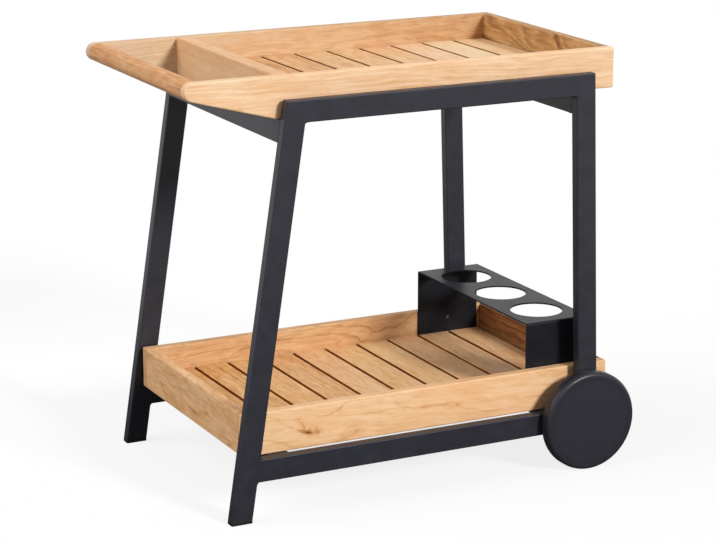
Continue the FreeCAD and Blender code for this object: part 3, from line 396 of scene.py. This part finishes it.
ground = add_node(teak, "ShaderNodeTexNoise", {},
                  {"Vector": slow, "Scale": 0.7, "Detail": 2.0}, "Fac")
warm = add_node(teak, "ShaderNodeMapRange", {},
                {"Value": ground, "From Min": 0.35, "From Max": 0.65, "To Max": MOST_PINK})
pinker = add_node(teak, "ShaderNodeMix", {"data_type": "RGBA", "blend_type": "MULTIPLY"},
                  {"Factor": warm, 6: ramp, 7: linear(PINKER)}, 2)
tinted = add_node(teak, "ShaderNodeMix", {"data_type": "RGBA", "blend_type": "MULTIPLY"},
                  {"Factor": 1.0, 6: pinker, 7: given["Tint"]}, 2)
print("shades of teak:", ", ".join(SHADES.values()))

# %% Relief and gloss: pores are grooves, and dark growth lines are a little sunk
LINE_SUNK = 0.6
GLOSSIEST, DULLEST = 0.46, 0.66
relief = add_node(teak, "ShaderNodeMath", {"operation": "MULTIPLY_ADD"},
                  {0: rings, 1: -LINE_SUNK, 2: noises["pores"]})
rough = add_node(teak, "ShaderNodeMapRange", {},
                 {"Value": noises["pores"], "To Min": GLOSSIEST, "To Max": DULLEST})
add_node(teak, "NodeGroupOutput", {}, {"Colour": tinted, "Relief": relief, "Roughness": rough})
print("teak figure:", len(teak.nodes), "nodes")

# %% [markdown]
# ### A log for every board
# What makes a board straight or arched is where the heart of the log lies: far off to the side
# gives straight lines, close under the face gives arches. So each board has the heart's distance
# behind its face and to its side, a few degrees of tilt, and its own shade.
# The slats' sawn sides face each other across a narrow gap. Light goes to and fro between them and
# comes out deep orange, so there the slats have a deeper tone and tint, but for their very edges.

# %% The sides of a slat
GAP_CLEAN, GAP_DARK = 0.4 * MM, 1.4 * MM     # from an edge: none of the deep tone, and all of it
GAP_LIGHT = "#D69D08"


def depth_in_gap(tree, place, low, high):
    """1 on the sides of a slat, and 0 on its top and bottom face and along their edges."""
    up_place = add_node(tree, "ShaderNodeSeparateXYZ", {}, {"Vector": place}, "Z")
    below_top = add_node(tree, "ShaderNodeMapRange", {}, {
        "Value": up_place, "From Min": high.z - GAP_DARK, "From Max": high.z - GAP_CLEAN,
        "To Min": 1.0, "To Max": 0.0})
    over_bottom = add_node(tree, "ShaderNodeMapRange", {}, {
        "Value": up_place, "From Min": low.z + GAP_CLEAN, "From Max": low.z + GAP_DARK})
    return add_node(tree, "ShaderNodeMath", {"operation": "MULTIPLY"},
                    {0: below_top, 1: over_bottom})


print("slat sides deepen over", round((GAP_DARK - GAP_CLEAN) / MM, 1), "mm")

# %% One teak material per board
LOG_APART = 1.7              # metres along the grain from one seed's wood to the next one's
NO_KNOT = (9.0, 9.0, 9.0)    # a place outside every board
GRAIN_RELIEF = 0.25 * MM


def finish_nodes(material, endings):
    """Gives one material to every CAD node whose name ends as asked."""
    chosen = [name for name in nodes if name.endswith(endings)]
    for name in chosen:
        nodes[name].data.materials.clear()
        nodes[name].data.materials.append(material)
    print(material.name, "- nodes:", len(chosen))


def teak_board(node_name, grain, heart=(120, 40), tilt=(1.5, 0.6), tone=0.30, rings=0.30,
               streaks=0.55, patches=0.25, veins=0.0, tint="#FFFFFF", knot=None, knot_size=7,
               seed=0, fade=0.0, gap_tone=None):
    """Object coordinates are turned so that the grain is X, tilted, and moved so that the log's
    heart is the axis. The wood may darken along the board, by fade for each metre. Tilt is in
    degrees, heart, knot and knot size in mm."""
    low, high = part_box(node_name)
    middle = (low + high) / 2
    turn = math.radians(-90) if grain == "y" else 0.0
    lean, swing = (math.radians(a) for a in tilt)
    log_place = Vector((seed * LOG_APART, heart[0] * MM, heart[1] * MM))
    material, tree = new_material(f"oiled teak {node_name}")
    place = add_node(tree, "ShaderNodeTexCoord", {}, {}, "Object")
    centred = add_node(tree, "ShaderNodeVectorMath", {"operation": "SUBTRACT"},
                       {0: place, 1: middle})
    level = add_node(tree, "ShaderNodeMapping", {}, {"Vector": centred, "Rotation": (0, 0, turn)})
    tilted = add_node(tree, "ShaderNodeMapping", {},
                      {"Vector": level, "Rotation": (0, lean, swing), "Location": log_place})
    knot_place = NO_KNOT
    if knot:
        spun = Matrix.Rotation(turn, 3, "Z") @ (Vector(knot) * MM - middle)
        leaned = Matrix.Rotation(swing, 3, "Z") @ (Matrix.Rotation(lean, 3, "Y") @ spun)
        knot_place = leaned + log_place
    tint = linear(tint)
    if fade:
        along = add_node(tree, "ShaderNodeSeparateXYZ", {}, {"Vector": level}, "X")
        tone = add_node(tree, "ShaderNodeMath", {"operation": "MULTIPLY_ADD"},
                        {0: along, 1: fade, 2: tone})
    if gap_tone:
        deep = depth_in_gap(tree, place, low, high)
        tone = add_node(tree, "ShaderNodeMath", {"operation": "MULTIPLY_ADD"},
                        {0: deep, 1: gap_tone - tone, 2: tone})
        tint = add_node(tree, "ShaderNodeMix", {"data_type": "RGBA"},
                        {"Factor": deep, 6: tint, 7: linear(GAP_LIGHT)}, 2)
    figure = add_node(tree, "ShaderNodeGroup", {"node_tree": teak}, {
        "Place": tilted, "Tone": tone, "Rings": rings, "Streaks": streaks, "Patches": patches,
        "Veins": veins, "Tint": tint, "Knot": knot_place, "Knot size": knot_size * MM}).node
    bump = add_node(tree, "ShaderNodeBump", {}, {
        "Height": figure.outputs["Relief"], "Strength": 0.25, "Distance": GRAIN_RELIEF})
    surface = add_node(tree, "ShaderNodeBsdfPrincipled", {}, {
        "Base Color": figure.outputs["Colour"], "Roughness": figure.outputs["Roughness"],
        "Normal": bump, "IOR": 1.46, "Specular IOR Level": 0.35})
    add_node(tree, "ShaderNodeOutputMaterial", {}, {"Surface": surface})
    finish_nodes(material, (node_name,))


print("logs lie", LOG_APART, "m apart")

# %% The boards of the two trays
teak_board("top_near_side_board", "x", heart=(-160, -46), tilt=(-1.6, 0.5), tone=0.16, rings=0.20,
           streaks=1.0, patches=0.24, tint="#FFFCFA", seed=1)
teak_board("top_far_side_board", "x", heart=(140, 30), tilt=(1.0, -0.4), tone=0.33, rings=0.14,
           streaks=0.6, patches=0.40, tint="#E4E9EF", seed=2, fade=0.45)
teak_board("handle_bar", "y", heart=(90, 60), tilt=(2.0, 1.0), tone=0.52, rings=0.12, streaks=0.5,
           patches=0.45, tint="#FFF9F6", seed=3)
teak_board("divider_board", "y", heart=(30, -160), tilt=(0.5, 0.5), tone=0.27, rings=0.06,
           streaks=0.3, patches=0.30, tint="#FAF5F2", seed=4)
teak_board("top_rear_board", "y", heart=(34, -30), tilt=(2.5, 7.0), tone=0.60, rings=0.40,
           streaks=0.7, tint="#F5FEFF", seed=5)
teak_board("lower_near_side_board", "x", heart=(-90, 60), tilt=(-4.0, 1.0), tone=0.25, rings=0.10,
           streaks=0.5, patches=0.35, veins=0.30, tint="#FFF9F2", knot=(-213, -237, 142),
           knot_size=10, seed=6)
teak_board("lower_far_side_board", "x", heart=(40, 10), tilt=(3.0, 6.0), tone=0.41, rings=0.16,
           streaks=0.4, patches=0.35, veins=0.32, tint="#EBEDEC", seed=7)
teak_board("lower_front_board", "y", heart=(45, 20), tilt=(3.0, 5.0), tone=0.40, rings=0.14,
           patches=0.35, veins=0.20, seed=8)
# The lower rear board's tone is darker than the rest: painted shade for the shade under the bottle
# holder, which the lamps give only in part.
teak_board("lower_rear_board", "y", heart=(60, 60), tilt=(2.0, 2.0), tone=0.86, rings=0.20, seed=9)
for tray in ("top", "lower"):
    for side in ("near", "far"):
        teak_board(f"{tray}_{side}_batten", "x", heart=(80, 90), tone=0.42, rings=0.25,
                   seed=10 + len(tray + side))

# %% The slats: tones from the handle end to the wheel end, and the rest by chance
SLAT_TONES = {"top": (0.42, 0.45, 0.40, 0.32, 0.30, 0.30, 0.12, 0.03, 0.20),
              "lower": (0.50, 0.46, 0.38, 0.40, 0.28, 0.30, 0.24, 0.20, 0.22, 0.30)}
SLAT_TINTS = {"top": ("#F6F7F2", "#F6F4F2", "#F8F5F4"), "lower": ("#F6F2E2", "#F8EEE8", "#F6F0E6")}
GAP_TONES = {"top": 0.98, "lower": 0.84}
for tray, slat_tones in SLAT_TONES.items():
    chance = np.random.default_rng(len(tray))
    for number, tone in enumerate(slat_tones, 1):
        sideways, below = chance.uniform(20, 150), chance.uniform(-140, -25)
        teak_board(f"{tray}_slat_{number}", "y", heart=(sideways, below), tone=tone,
                   tilt=(chance.uniform(-3, 3), chance.uniform(-2, 2)),
                   rings=chance.uniform(0.05, 0.20), streaks=chance.uniform(0.3, 0.7),
                   patches=chance.uniform(0.4, 0.7), veins=chance.uniform(0, 0.2),
                   tint=SLAT_TINTS[tray][chance.integers(3)],
                   seed=20 + number + 10 * len(tray), gap_tone=GAP_TONES[tray])
print("teak boards:", sum(1 for m in bpy.data.materials if m.name.startswith("oiled teak")))

# %% [markdown]
# ## Powder coat
# The tube and the bottle holder are steel under a black polyester powder coat, baked on as a fine
# texture. It gives the eye a deep charcoal that is never quite even, a broad dull gloss that
# brightens on faces seen along, and thin pale lines on the rounded edges of the tube.

# %% Powder coat on the tube and on the sheet
PEEL = 3.4 * MM          # real texture is about half a millimetre; drawn coarser, so that it shows
CLOUD = 30.0 * MM        # slow unevenness of the coat
COAT_RELIEF = 0.12 * MM
COAT_UNEVEN = 0.06       # how far the roughness strays, up and down


def powder_coat(name, darker, lighter, rough, specular):
    """Fine noise is the texture's relief, slow noise moves the colour and the gloss a little."""
    material, tree = new_material(name)
    place = add_node(tree, "ShaderNodeTexCoord", {}, {}, "Object")
    peel, cloud = (add_node(tree, "ShaderNodeTexNoise", {},
                            {"Vector": place, "Scale": 1 / size, "Detail": detail}, "Fac")
                   for size, detail in ((PEEL, 2.0), (CLOUD, 3.0)))
    both = add_node(tree, "ShaderNodeMath", {"operation": "ADD"}, {0: peel, 1: cloud})
    share = add_node(tree, "ShaderNodeMapRange", {},
                     {"Value": both, "From Min": 0.7, "From Max": 1.3})
    colour = add_node(tree, "ShaderNodeMix", {"data_type": "RGBA"},
                      {"Factor": share, 6: linear(darker), 7: linear(lighter)}, 2)
    gloss = add_node(tree, "ShaderNodeMapRange", {},
                     {"Value": cloud, "To Min": rough - COAT_UNEVEN, "To Max": rough + COAT_UNEVEN})
    bump = add_node(tree, "ShaderNodeBump", {},
                    {"Height": peel, "Strength": 0.35, "Distance": COAT_RELIEF})
    surface = add_node(tree, "ShaderNodeBsdfPrincipled", {}, {
        "Base Color": colour, "Roughness": gloss, "Normal": bump, "IOR": 1.5,
        "Specular IOR Level": specular})
    add_node(tree, "ShaderNodeOutputMaterial", {}, {"Surface": surface})
    return material


frame_coat = powder_coat("powder coated steel tube", "#24252B", "#2D2D36", 0.39, 0.28)
holder_coat = powder_coat("powder coated steel sheet", "#1A1A1F", "#1F2025", 0.31, 0.10)
finish_nodes(frame_coat, ("_leg", "_rail", "_crossbar"))
finish_nodes(holder_coat, ("bottle_holder",))

# %% [markdown]
# ## Moulded and rubber parts
# The wheel is a disc of fibre-filled nylon with a thin rubber tread pressed round it. Both are
# black and look much alike: the tread is a shade darker, and its grain is the coarser one.
# The glides and bushes are plain nylon, darker and duller, with the finest grain.

# %% Nylon and rubber
GRAIN_UNEVEN = 0.08      # how far the roughness strays, up and down
MOULD_RELIEF = 0.1 * MM


def moulded(name, darker, lighter, rough, grain):
    """The mould's grain as fine noise in colour, gloss and relief."""
    material, tree = new_material(name)
    place = add_node(tree, "ShaderNodeTexCoord", {}, {}, "Object")
    speck = add_node(tree, "ShaderNodeTexNoise", {},
                     {"Vector": place, "Scale": 1 / grain, "Detail": 3.0}, "Fac")
    colour = add_node(tree, "ShaderNodeMix", {"data_type": "RGBA"},
                      {"Factor": speck, 6: linear(darker), 7: linear(lighter)}, 2)
    gloss = add_node(tree, "ShaderNodeMapRange", {}, {
        "Value": speck, "To Min": rough - GRAIN_UNEVEN, "To Max": rough + GRAIN_UNEVEN})
    bump = add_node(tree, "ShaderNodeBump", {},
                    {"Height": speck, "Strength": 0.2, "Distance": MOULD_RELIEF})
    surface = add_node(tree, "ShaderNodeBsdfPrincipled", {}, {
        "Base Color": colour, "Roughness": gloss, "Normal": bump, "IOR": 1.5,
        "Specular IOR Level": 0.25})
    add_node(tree, "ShaderNodeOutputMaterial", {}, {"Surface": surface})
    return material


# Real grain is a few tenths of a millimetre; all three are drawn coarser, so that it shows.
disc = moulded("moulded nylon disc", "#28282F", "#313139", 0.34, 1.4 * MM)
tread = moulded("rubber tread", "#27272E", "#2F2F37", 0.32, 2.2 * MM)
glide = moulded("nylon glide", "#18181A", "#222224", 0.42, 0.9 * MM)
finish_nodes(disc, ("_hub", "_cover"))
finish_nodes(tread, ("_tyre",))
finish_nodes(glide, ("_glide", "_bush"))

# %% [markdown]
# ## Stainless fasteners
# Screws, nuts and axle bolts are turned stainless steel: a cool pale metal with fine marks from
# the tool, brightest on the domed heads. The two screws in the bottle holder sit in shade under its
# plate, and a darker copy of the steel paints that shade into them.

# %% Turned stainless steel, and a darker copy that paints shade
TOOL_MARK = 0.8 * MM     # real marks are finer; drawn coarser, so that they show
STEEL_GLOSSIEST, STEEL_DULLEST = 0.24, 0.38


def turned_steel(name, darker, lighter):
    """Fine noise as the marks of the tool, in colour and gloss."""
    material, tree = new_material(name)
    place = add_node(tree, "ShaderNodeTexCoord", {}, {}, "Object")
    marks = add_node(tree, "ShaderNodeTexNoise", {},
                     {"Vector": place, "Scale": 1 / TOOL_MARK, "Detail": 2.0}, "Fac")
    colour = add_node(tree, "ShaderNodeMix", {"data_type": "RGBA"},
                      {"Factor": marks, 6: linear(darker), 7: linear(lighter)}, 2)
    gloss = add_node(tree, "ShaderNodeMapRange", {},
                     {"Value": marks, "To Min": STEEL_GLOSSIEST, "To Max": STEEL_DULLEST})
    surface = add_node(tree, "ShaderNodeBsdfPrincipled", {},
                       {"Base Color": colour, "Roughness": gloss, "Metallic": 1.0})
    add_node(tree, "ShaderNodeOutputMaterial", {}, {"Surface": surface})
    return material


steel = turned_steel("turned stainless steel", "#92908C", "#B2B0AB")
# A darker copy of the same steel: painted shade for the holder's two screws.
shade_darkened_steel = turned_steel("stainless steel darkened as painted shade", "#4A4844", "#605E59")
print("steels:", steel.name, "and", shade_darkened_steel.name)

# %% [markdown]
# ### One closed skin over two parameters
# A screw, a nut and a weld bead have one thing in common: a closed outline that is carried along
# something, round an axis for the turned parts and along the joint for the weld. So each is a grid
# of points, worked out as one array, and the same few lines give every grid its faces.

# %% From a grid of points to a piece
SMOOTH_TO = 35           # degrees between faces, past which an edge stays sharp


def skin(points, ring=False):
    """Points (row, column) become quads between rows, wrapped round the columns. The first and the
    last row are closed with flat faces, or joined to each other where the rows run in a ring."""
    rows, columns = points.shape[:2]
    index = np.arange(rows * columns).reshape(rows, columns)
    low, high = (index, np.roll(index, -1, axis=0)) if ring else (index[:-1], index[1:])
    quads = np.stack([low, np.roll(low, -1, axis=1), np.roll(high, -1, axis=1), high], axis=2)
    caps = np.empty((0, columns), int) if ring else np.stack([index[0, ::-1], index[-1]])
    return points.reshape(-1, 3), quads.reshape(-1, 4), caps


def new_piece(name, skins, material, body, slot, *replaced):
    """Joins skins into one mesh, smooth but for its sharp edges, and says what it belongs to."""
    firsts = np.cumsum([0] + [len(points) for points, _, _ in skins])
    faces = []
    for first, (_, quads, caps) in zip(firsts, skins):
        faces += (quads + first).tolist() + (caps + first).tolist()
    mesh = bpy.data.meshes.new(name)
    mesh.from_pydata(np.concatenate([points for points, _, _ in skins]).tolist(), [], faces)
    mesh.polygons.foreach_set("use_smooth", np.ones(len(faces), bool))
    mesh.set_sharp_from_angle(angle=math.radians(SMOOTH_TO))
    mesh.materials.append(material)
    piece = bpy.data.objects.new(name, mesh)
    bpy.context.scene.collection.objects.link(piece)
    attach(piece, body)
    if replaced:
        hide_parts(*replaced)
    print(name, len(faces), "faces")


print("a grid of 2 by 6 points gives", len(skin(np.zeros((2, 6, 3)))[1]), "quads and two caps")

# %% [markdown]
# ### Turned parts with a hexagon in them
# The socket of a screw and the outside of a nut have six flats, all the rest is round. A profile
# point therefore carries a radius, a height, and a share of hexagon from 0, round, to 1, six flats.

# %% A turned surface
FLAT = 2 * np.pi / 6     # the angle that one flat of a hexagon takes up
QUARTER = [math.radians(a) for a in range(0, 91, 15)]


def round_angles(around):
    """Evenly spaced angles for one turn, and for each the cosine of its angle from the middle of
    the nearest flat."""
    angle = np.arange(around) * 2 * np.pi / around
    return angle, np.cos((angle + FLAT / 2) % FLAT - FLAT / 2)


def turned(profile, around=24):
    """x = k r cos a, y = k r sin a, z = h, where k grows from 1 to 1 / cos(angle from the nearest
    flat) as the share of hexagon grows from 0 to 1, so that r then reaches to the flats."""
    radius, height, six = (np.array(column, float)[:, None] for column in zip(*profile))
    angle, nearness = round_angles(around)
    reach = radius * (1 - six + six / nearness)
    return skin(np.stack([reach * np.cos(angle), reach * np.sin(angle), height + 0 * angle],
                         axis=2) * MM)


def set_at(shape, point, way):
    """The same surface with its axis turned to a way and its origin at a point."""
    points, quads, caps = shape
    turn = np.array(Vector((0, 0, 1)).rotation_difference(Vector(way)).to_matrix())
    return points @ turn.T + np.array(point), quads, caps


def screw(shank, length, head, thickness):
    """In mm: a pointed shank below its seat, and above it a head whose dome is a quarter of an
    ellipse from the rim to the lip of a hexagon socket. Shank and head are radii."""
    lip, rim = head * 0.56, thickness * 0.3
    point = [(0.2, -length, 0), (shank * 0.8, -length + shank * 2, 0),
             (shank, -length + shank * 3, 0)]
    seat = [(shank, 0, 0), (head - 0.15, 0, 0), (head, 0.15, 0)]
    dome = [(lip + (head - lip) * math.cos(a), rim + (thickness - rim) * math.sin(a), 0)
            for a in QUARTER]
    socket = [(lip * 0.94, thickness - 0.15, 1), (lip * 0.90, thickness * 0.35, 1)]
    return turned(point + seat + dome + socket)


print("a screw has", len(screw(shank=2, length=16, head=4.5, thickness=2)[0]), "points")

# %% [markdown]
# The screws go where the CAD says: under the middle of each crossbar end for the trays, up through
# the battens under the middle of each slat, and through the holder's legs into the side boards.

# %% Tray screws
DOWN = (0, 0, -1)
SIDES = {"near": -1, "far": 1}


def middle_of(node_name):
    """The middle of a CAD node's box."""
    low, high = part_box(node_name)
    return (low + high) / 2


tray_screw = screw(shank=2.5, length=60, head=5, thickness=2.5)
tray_places = [(middle_of(bar).x, middle_of(f"top_{side}_side_board").y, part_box(bar)[0].z)
               for bar in nodes if bar.endswith("_crossbar") for side in SIDES]
new_piece("tray_cap_screws", [set_at(tray_screw, at, DOWN) for at in tray_places],
          steel, "frame", "stainless_fastener", "tray_screws")

# %% Slat screws, from a recess in the batten to a cover of wood above the point
SCREW_RECESS, SCREW_COVER = 4 * MM, 3 * MM
slat_screws = []
for slat in (name for name in nodes if "_slat_" in name):
    for side in SIDES:
        batten = f"{slat.split('_')[0]}_{side}_batten"
        seat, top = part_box(batten)[0].z + SCREW_RECESS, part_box(slat)[1].z - SCREW_COVER
        slat_screw = screw(shank=2, length=(top - seat) / MM, head=4, thickness=2)
        slat_screws.append(set_at(slat_screw, (middle_of(slat).x, middle_of(batten).y, seat), DOWN))
new_piece("slat_cap_screws", slat_screws, steel, "frame", "stainless_fastener", "slat_screws")

# %% Holder screws, from the inner faces of the holder's legs
HOLDER_SHEET = 3 * MM
holder_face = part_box("bottle_holder")[1].y - HOLDER_SHEET
holder_x, screw_height = middle_of("bottle_holder").x, middle_of("holder_screws").z
holder_screw = screw(shank=2, length=16, head=4.5, thickness=2)


def on_both_sides(shape, x, y, z, outwards):
    """The shape at -y and at y; outwards is 1 where its axis leaves the trolley, or else -1."""
    return [set_at(shape, (x, sign * y, z), (0, sign * outwards, 0)) for sign in SIDES.values()]


# Their steel is the darker copy, which paints the shade under the holder.
new_piece("holder_cap_screws", on_both_sides(holder_screw, holder_x, holder_face, screw_height, -1),
          shade_darkened_steel, "frame", "stainless_fastener", "holder_screws")

# %% [markdown]
# ### Axle bolts and nuts
# Each wheel turns on a bolt with a low pan head, under the cover, and a nut on the leg's inner
# face. A nut's corners are turned off at 30 degrees before it is threaded: where that cone meets
# the six flats it leaves the curved edge that every nut has, so two rows of the grid lie where the
# cones meet the hexagon.

# %% The forms of a nut and of a bolt, in mm
BOLT_RADIUS, THREAD_PITCH, THREAD_DEPTH, THREAD_TURNS = 6, 1.75, 0.6, 8
BOLT_END, THREAD_START = 1.2, 1      # how much the bolt's end is turned off, and for how long
NUT_FLATS, NUT_THICKNESS, NUT_CONE = 18, 6, 30
NUT_MOUTH = 0.5                      # how much the ends of its bore are opened
THREAD_PAST_NUT = 2
HEAD_THICKNESS, HEAD_RADIUS, HEAD_ROUNDING, SOCKET = 3, 11, 1.6, 4
AROUND = 48                          # points for one turn


def chamfered_nut(flats, thickness, bore):
    """End circle r at height h, then the hexagon edge e(a) where the 30 degree cone from that
    circle reaches it, h inwards by (e(a) - r) tan 30, the same at the other end, and the bore."""
    angle, nearness = round_angles(AROUND)
    edge = flats / 2 / nearness
    circle = flats / 2 * 0.96
    drop = (edge - circle) * math.tan(math.radians(NUT_CONE))
    rows = [(bore, NUT_MOUTH), (bore + NUT_MOUTH, 0), (circle, 0), (edge, drop),
            (edge, thickness - drop), (circle, thickness), (bore + NUT_MOUTH, thickness),
            (bore, thickness - NUT_MOUTH)]
    radius, height = (np.stack([value + 0 * angle for value in column]) for column in zip(*rows))
    return skin(np.stack([radius * np.cos(angle), radius * np.sin(angle), height], axis=2) * MM,
                ring=True)


def axle_bolt(length, head, thickness):
    """A chamfered end, a zigzag of thread grooves, a plain shank, and a pan head with a socket."""
    thread = []
    for turn in range(THREAD_TURNS):
        at = -length + THREAD_START + turn * THREAD_PITCH
        thread += [(BOLT_RADIUS - THREAD_DEPTH, at, 0), (BOLT_RADIUS, at + THREAD_PITCH / 2, 0)]
    rim = thickness * 0.35
    dome = [(head - HEAD_ROUNDING + HEAD_ROUNDING * math.cos(a),
             rim + (thickness - rim) * math.sin(a), 0) for a in QUARTER]
    socket = [(SOCKET + 0.4, thickness, 0), (SOCKET, thickness - 0.4, 1),
              (SOCKET, thickness * 0.3, 1)]
    return turned([(BOLT_RADIUS - BOLT_END, -length, 0)] + thread
                  + [(BOLT_RADIUS, 0, 0), (head, 0, 0)] + dome + socket, AROUND)


print("thread", THREAD_TURNS * THREAD_PITCH, "mm long")

# %% Put them on the axles
frame_inner_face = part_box("far_rear_leg")[0].y
bolt_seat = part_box("axle_bolts")[1].y - HEAD_THICKNESS * MM
tail_end = frame_inner_face - (NUT_THICKNESS + THREAD_PAST_NUT) * MM
bolt = axle_bolt((bolt_seat - tail_end) / MM, HEAD_RADIUS, HEAD_THICKNESS)
nut = chamfered_nut(NUT_FLATS, NUT_THICKNESS, BOLT_RADIUS)
axle = middle_of("axle_bolts")
new_piece("axle_pan_bolts", on_both_sides(bolt, axle.x, bolt_seat, axle.z, 1),
          steel, "frame", "stainless_fastener", "axle_bolts")
new_piece("axle_hex_nuts", on_both_sides(nut, axle.x, frame_inner_face, axle.z, -1),
          steel, "frame", "stainless_fastener", "axle_nuts")

# %% [markdown]
# ## Weld beads
# The crossbars are welded to the side frames before the coat goes on. A hand-laid bead is a row of
# drops, each frozen a little over the last, so its size swells and shrinks along the joint. It is
# carried along the crossbar's outline on the frame's inner face, where no board covers it.

# %% A bead along a path, in mm
BEAD, DROP, BEND = 2.2, 3.2, 2.5     # radius of a bead, length of a drop, the tube's rounded corner
BEAD_LEAST = 0.86                    # how much of its radius is left between two drops
ROOT = 0.3                           # how far the bead reaches into both tubes


def rounded_path(corners, step=0.4):
    """Straight runs between corners; at each inner corner, points on the curve
    (1-t)^2 before + 2t(1-t) corner + t^2 after. Then a point each step along the whole."""
    corners = [np.array(corner, float) for corner in corners]
    points = [corners[0]]
    share = np.linspace(0, 1, 7)[:, None]
    for before, corner, after in zip(corners, corners[1:], corners[2:]):
        first = corner + (before - corner) / np.linalg.norm(before - corner) * BEND
        last = corner + (after - corner) / np.linalg.norm(after - corner) * BEND
        points.extend((1 - share) ** 2 * first + 2 * share * (1 - share) * corner
                      + share ** 2 * last)
    points = np.array(points + [corners[-1]])
    travelled = np.concatenate([[0], np.cumsum(np.linalg.norm(np.diff(points, axis=0), axis=1))])
    places = np.linspace(0, travelled[-1], int(travelled[-1] / step))
    return places, np.stack([np.interp(places, travelled, points[:, i]) for i in (0, 1)], axis=1)


def weld_bead(corners, side):
    """P + R (N cos t + Y sin t) for t from 0 to 90 degrees: P on the joint, N leaving the
    crossbar, Y leaving the frame. R dips once for each drop and narrows away at both ends."""
    places, path = rounded_path(corners)
    course = np.gradient(path, axis=0)
    course /= np.linalg.norm(course, axis=1)[:, None]
    leaving = np.stack([course[:, 1], 0 * places, -course[:, 0]], axis=1)
    inwards = np.array([0, -SIDES[side], 0])
    frame_face = frame_inner_face / MM * SIDES[side]
    joint = np.stack([path[:, 0], frame_face + 0 * places, path[:, 1]], axis=1)
    swell = np.abs(np.sin(np.pi * places / DROP))
    size = BEAD * (BEAD_LEAST + (1 - BEAD_LEAST) * swell)
    size *= np.sqrt(np.clip(np.minimum(places, places[-1] - places) / BEAD, 0.01, 1))
    angle = np.array(QUARTER)[:, None, None]
    arch = joint + size[:, None] * (leaving * np.cos(angle) + inwards * np.sin(angle))
    root = joint - ROOT * (leaving + inwards)
    loop = np.concatenate([arch, root[None]]).transpose(1, 0, 2)
    return skin((loop if side == "near" else loop[:, ::-1]) * MM)


print("a path round one corner has", len(rounded_path([(0, 0), (9, 0), (9, 9)])[0]), "points")

# %% Beads round the ends of the crossbars: the upper ones lean with the legs
FRONT_LEAN, REAR_LEAN = 115 / 752, -24 / 752      # how far the legs lean over their height
beads = []
for bar, lean in (("upper_front_crossbar", FRONT_LEAN), ("upper_rear_crossbar", REAR_LEAN)):
    (left, _, low), (right, _, high) = (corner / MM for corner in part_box(bar))
    shift = lean * (high - low)
    left, right = (left, right - shift) if shift > 0 else (left - shift, right)
    beads += [weld_bead([(left + 1, low), (right, low), (right + shift, high)], side)
              for side in SIDES]
for bar in ("lower_front_crossbar", "lower_rear_crossbar"):
    (left, _, low), (right, _, high) = (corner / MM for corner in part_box(bar))
    beads += [weld_bead([(left, high), (left, low), (right, low), (right, high)], side)
              for side in SIDES]
new_piece("crossbar_weld_beads", beads, frame_coat, "frame", "powder_coated_frame")

# %% [markdown]
# Where a bottom rail butts against a leg, the leg's rounded edge would leave a groove on both
# faces. The welder fills it and grinds it nearly flush, so that only a faint swelling is left.

# %% Ground welds between rails and legs
EDGE_RADIUS, SWELL = 2.0, 0.12       # the tube's rounded edge, and how far the weld stands proud
FRONT_FOOT, REAR_FOOT = -378, 379    # the legs' outer edges, carried down to the floor
TUBE = 40                            # the tube's depth along the trolley


def ground_weld(foot, lean, leg_way, face, inwards, low, high, rows=30):
    """Section: leg face, crest s = SWELL (1 + 0.3 sin(2 pi z / drop)), rail face, root in the
    groove; carried up the joint x(z) = foot + lean z + leg_way TUBE sqrt(1 + lean^2)."""
    height = np.linspace(low, high, rows)
    joint = foot + lean * height + leg_way * TUBE * math.sqrt(1 + lean ** 2)
    swell = SWELL * (1 + 0.3 * np.sin(2 * np.pi * height / DROP))
    section = [(-1.2 * EDGE_RADIUS, 0), (-0.5, 1), (0.25 * EDGE_RADIUS, 0),
               (-0.1, -EDGE_RADIUS / SWELL)]
    lines = [(joint + along * leg_way, face - inwards * swell * out, height)
             for along, out in section]
    loop = np.stack([np.stack(line, axis=1) for line in lines], axis=1)
    return skin((loop if leg_way * inwards > 0 else loop[:, ::-1]) * MM)


fills = []
for side in SIDES:
    first, last = (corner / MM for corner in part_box(f"{side}_bottom_rail"))
    low, high = first.z + EDGE_RADIUS, last.z - EDGE_RADIUS
    for foot, lean, leg_way in ((FRONT_FOOT, FRONT_LEAN, 1), (REAR_FOOT, REAR_LEAN, -1)):
        for face, inwards in ((first.y, 1), (last.y, -1)):
            fills.append(ground_weld(foot, lean, leg_way, face, inwards, low, high))
new_piece("rail_ground_welds", fills, frame_coat, "frame", "powder_coated_frame")
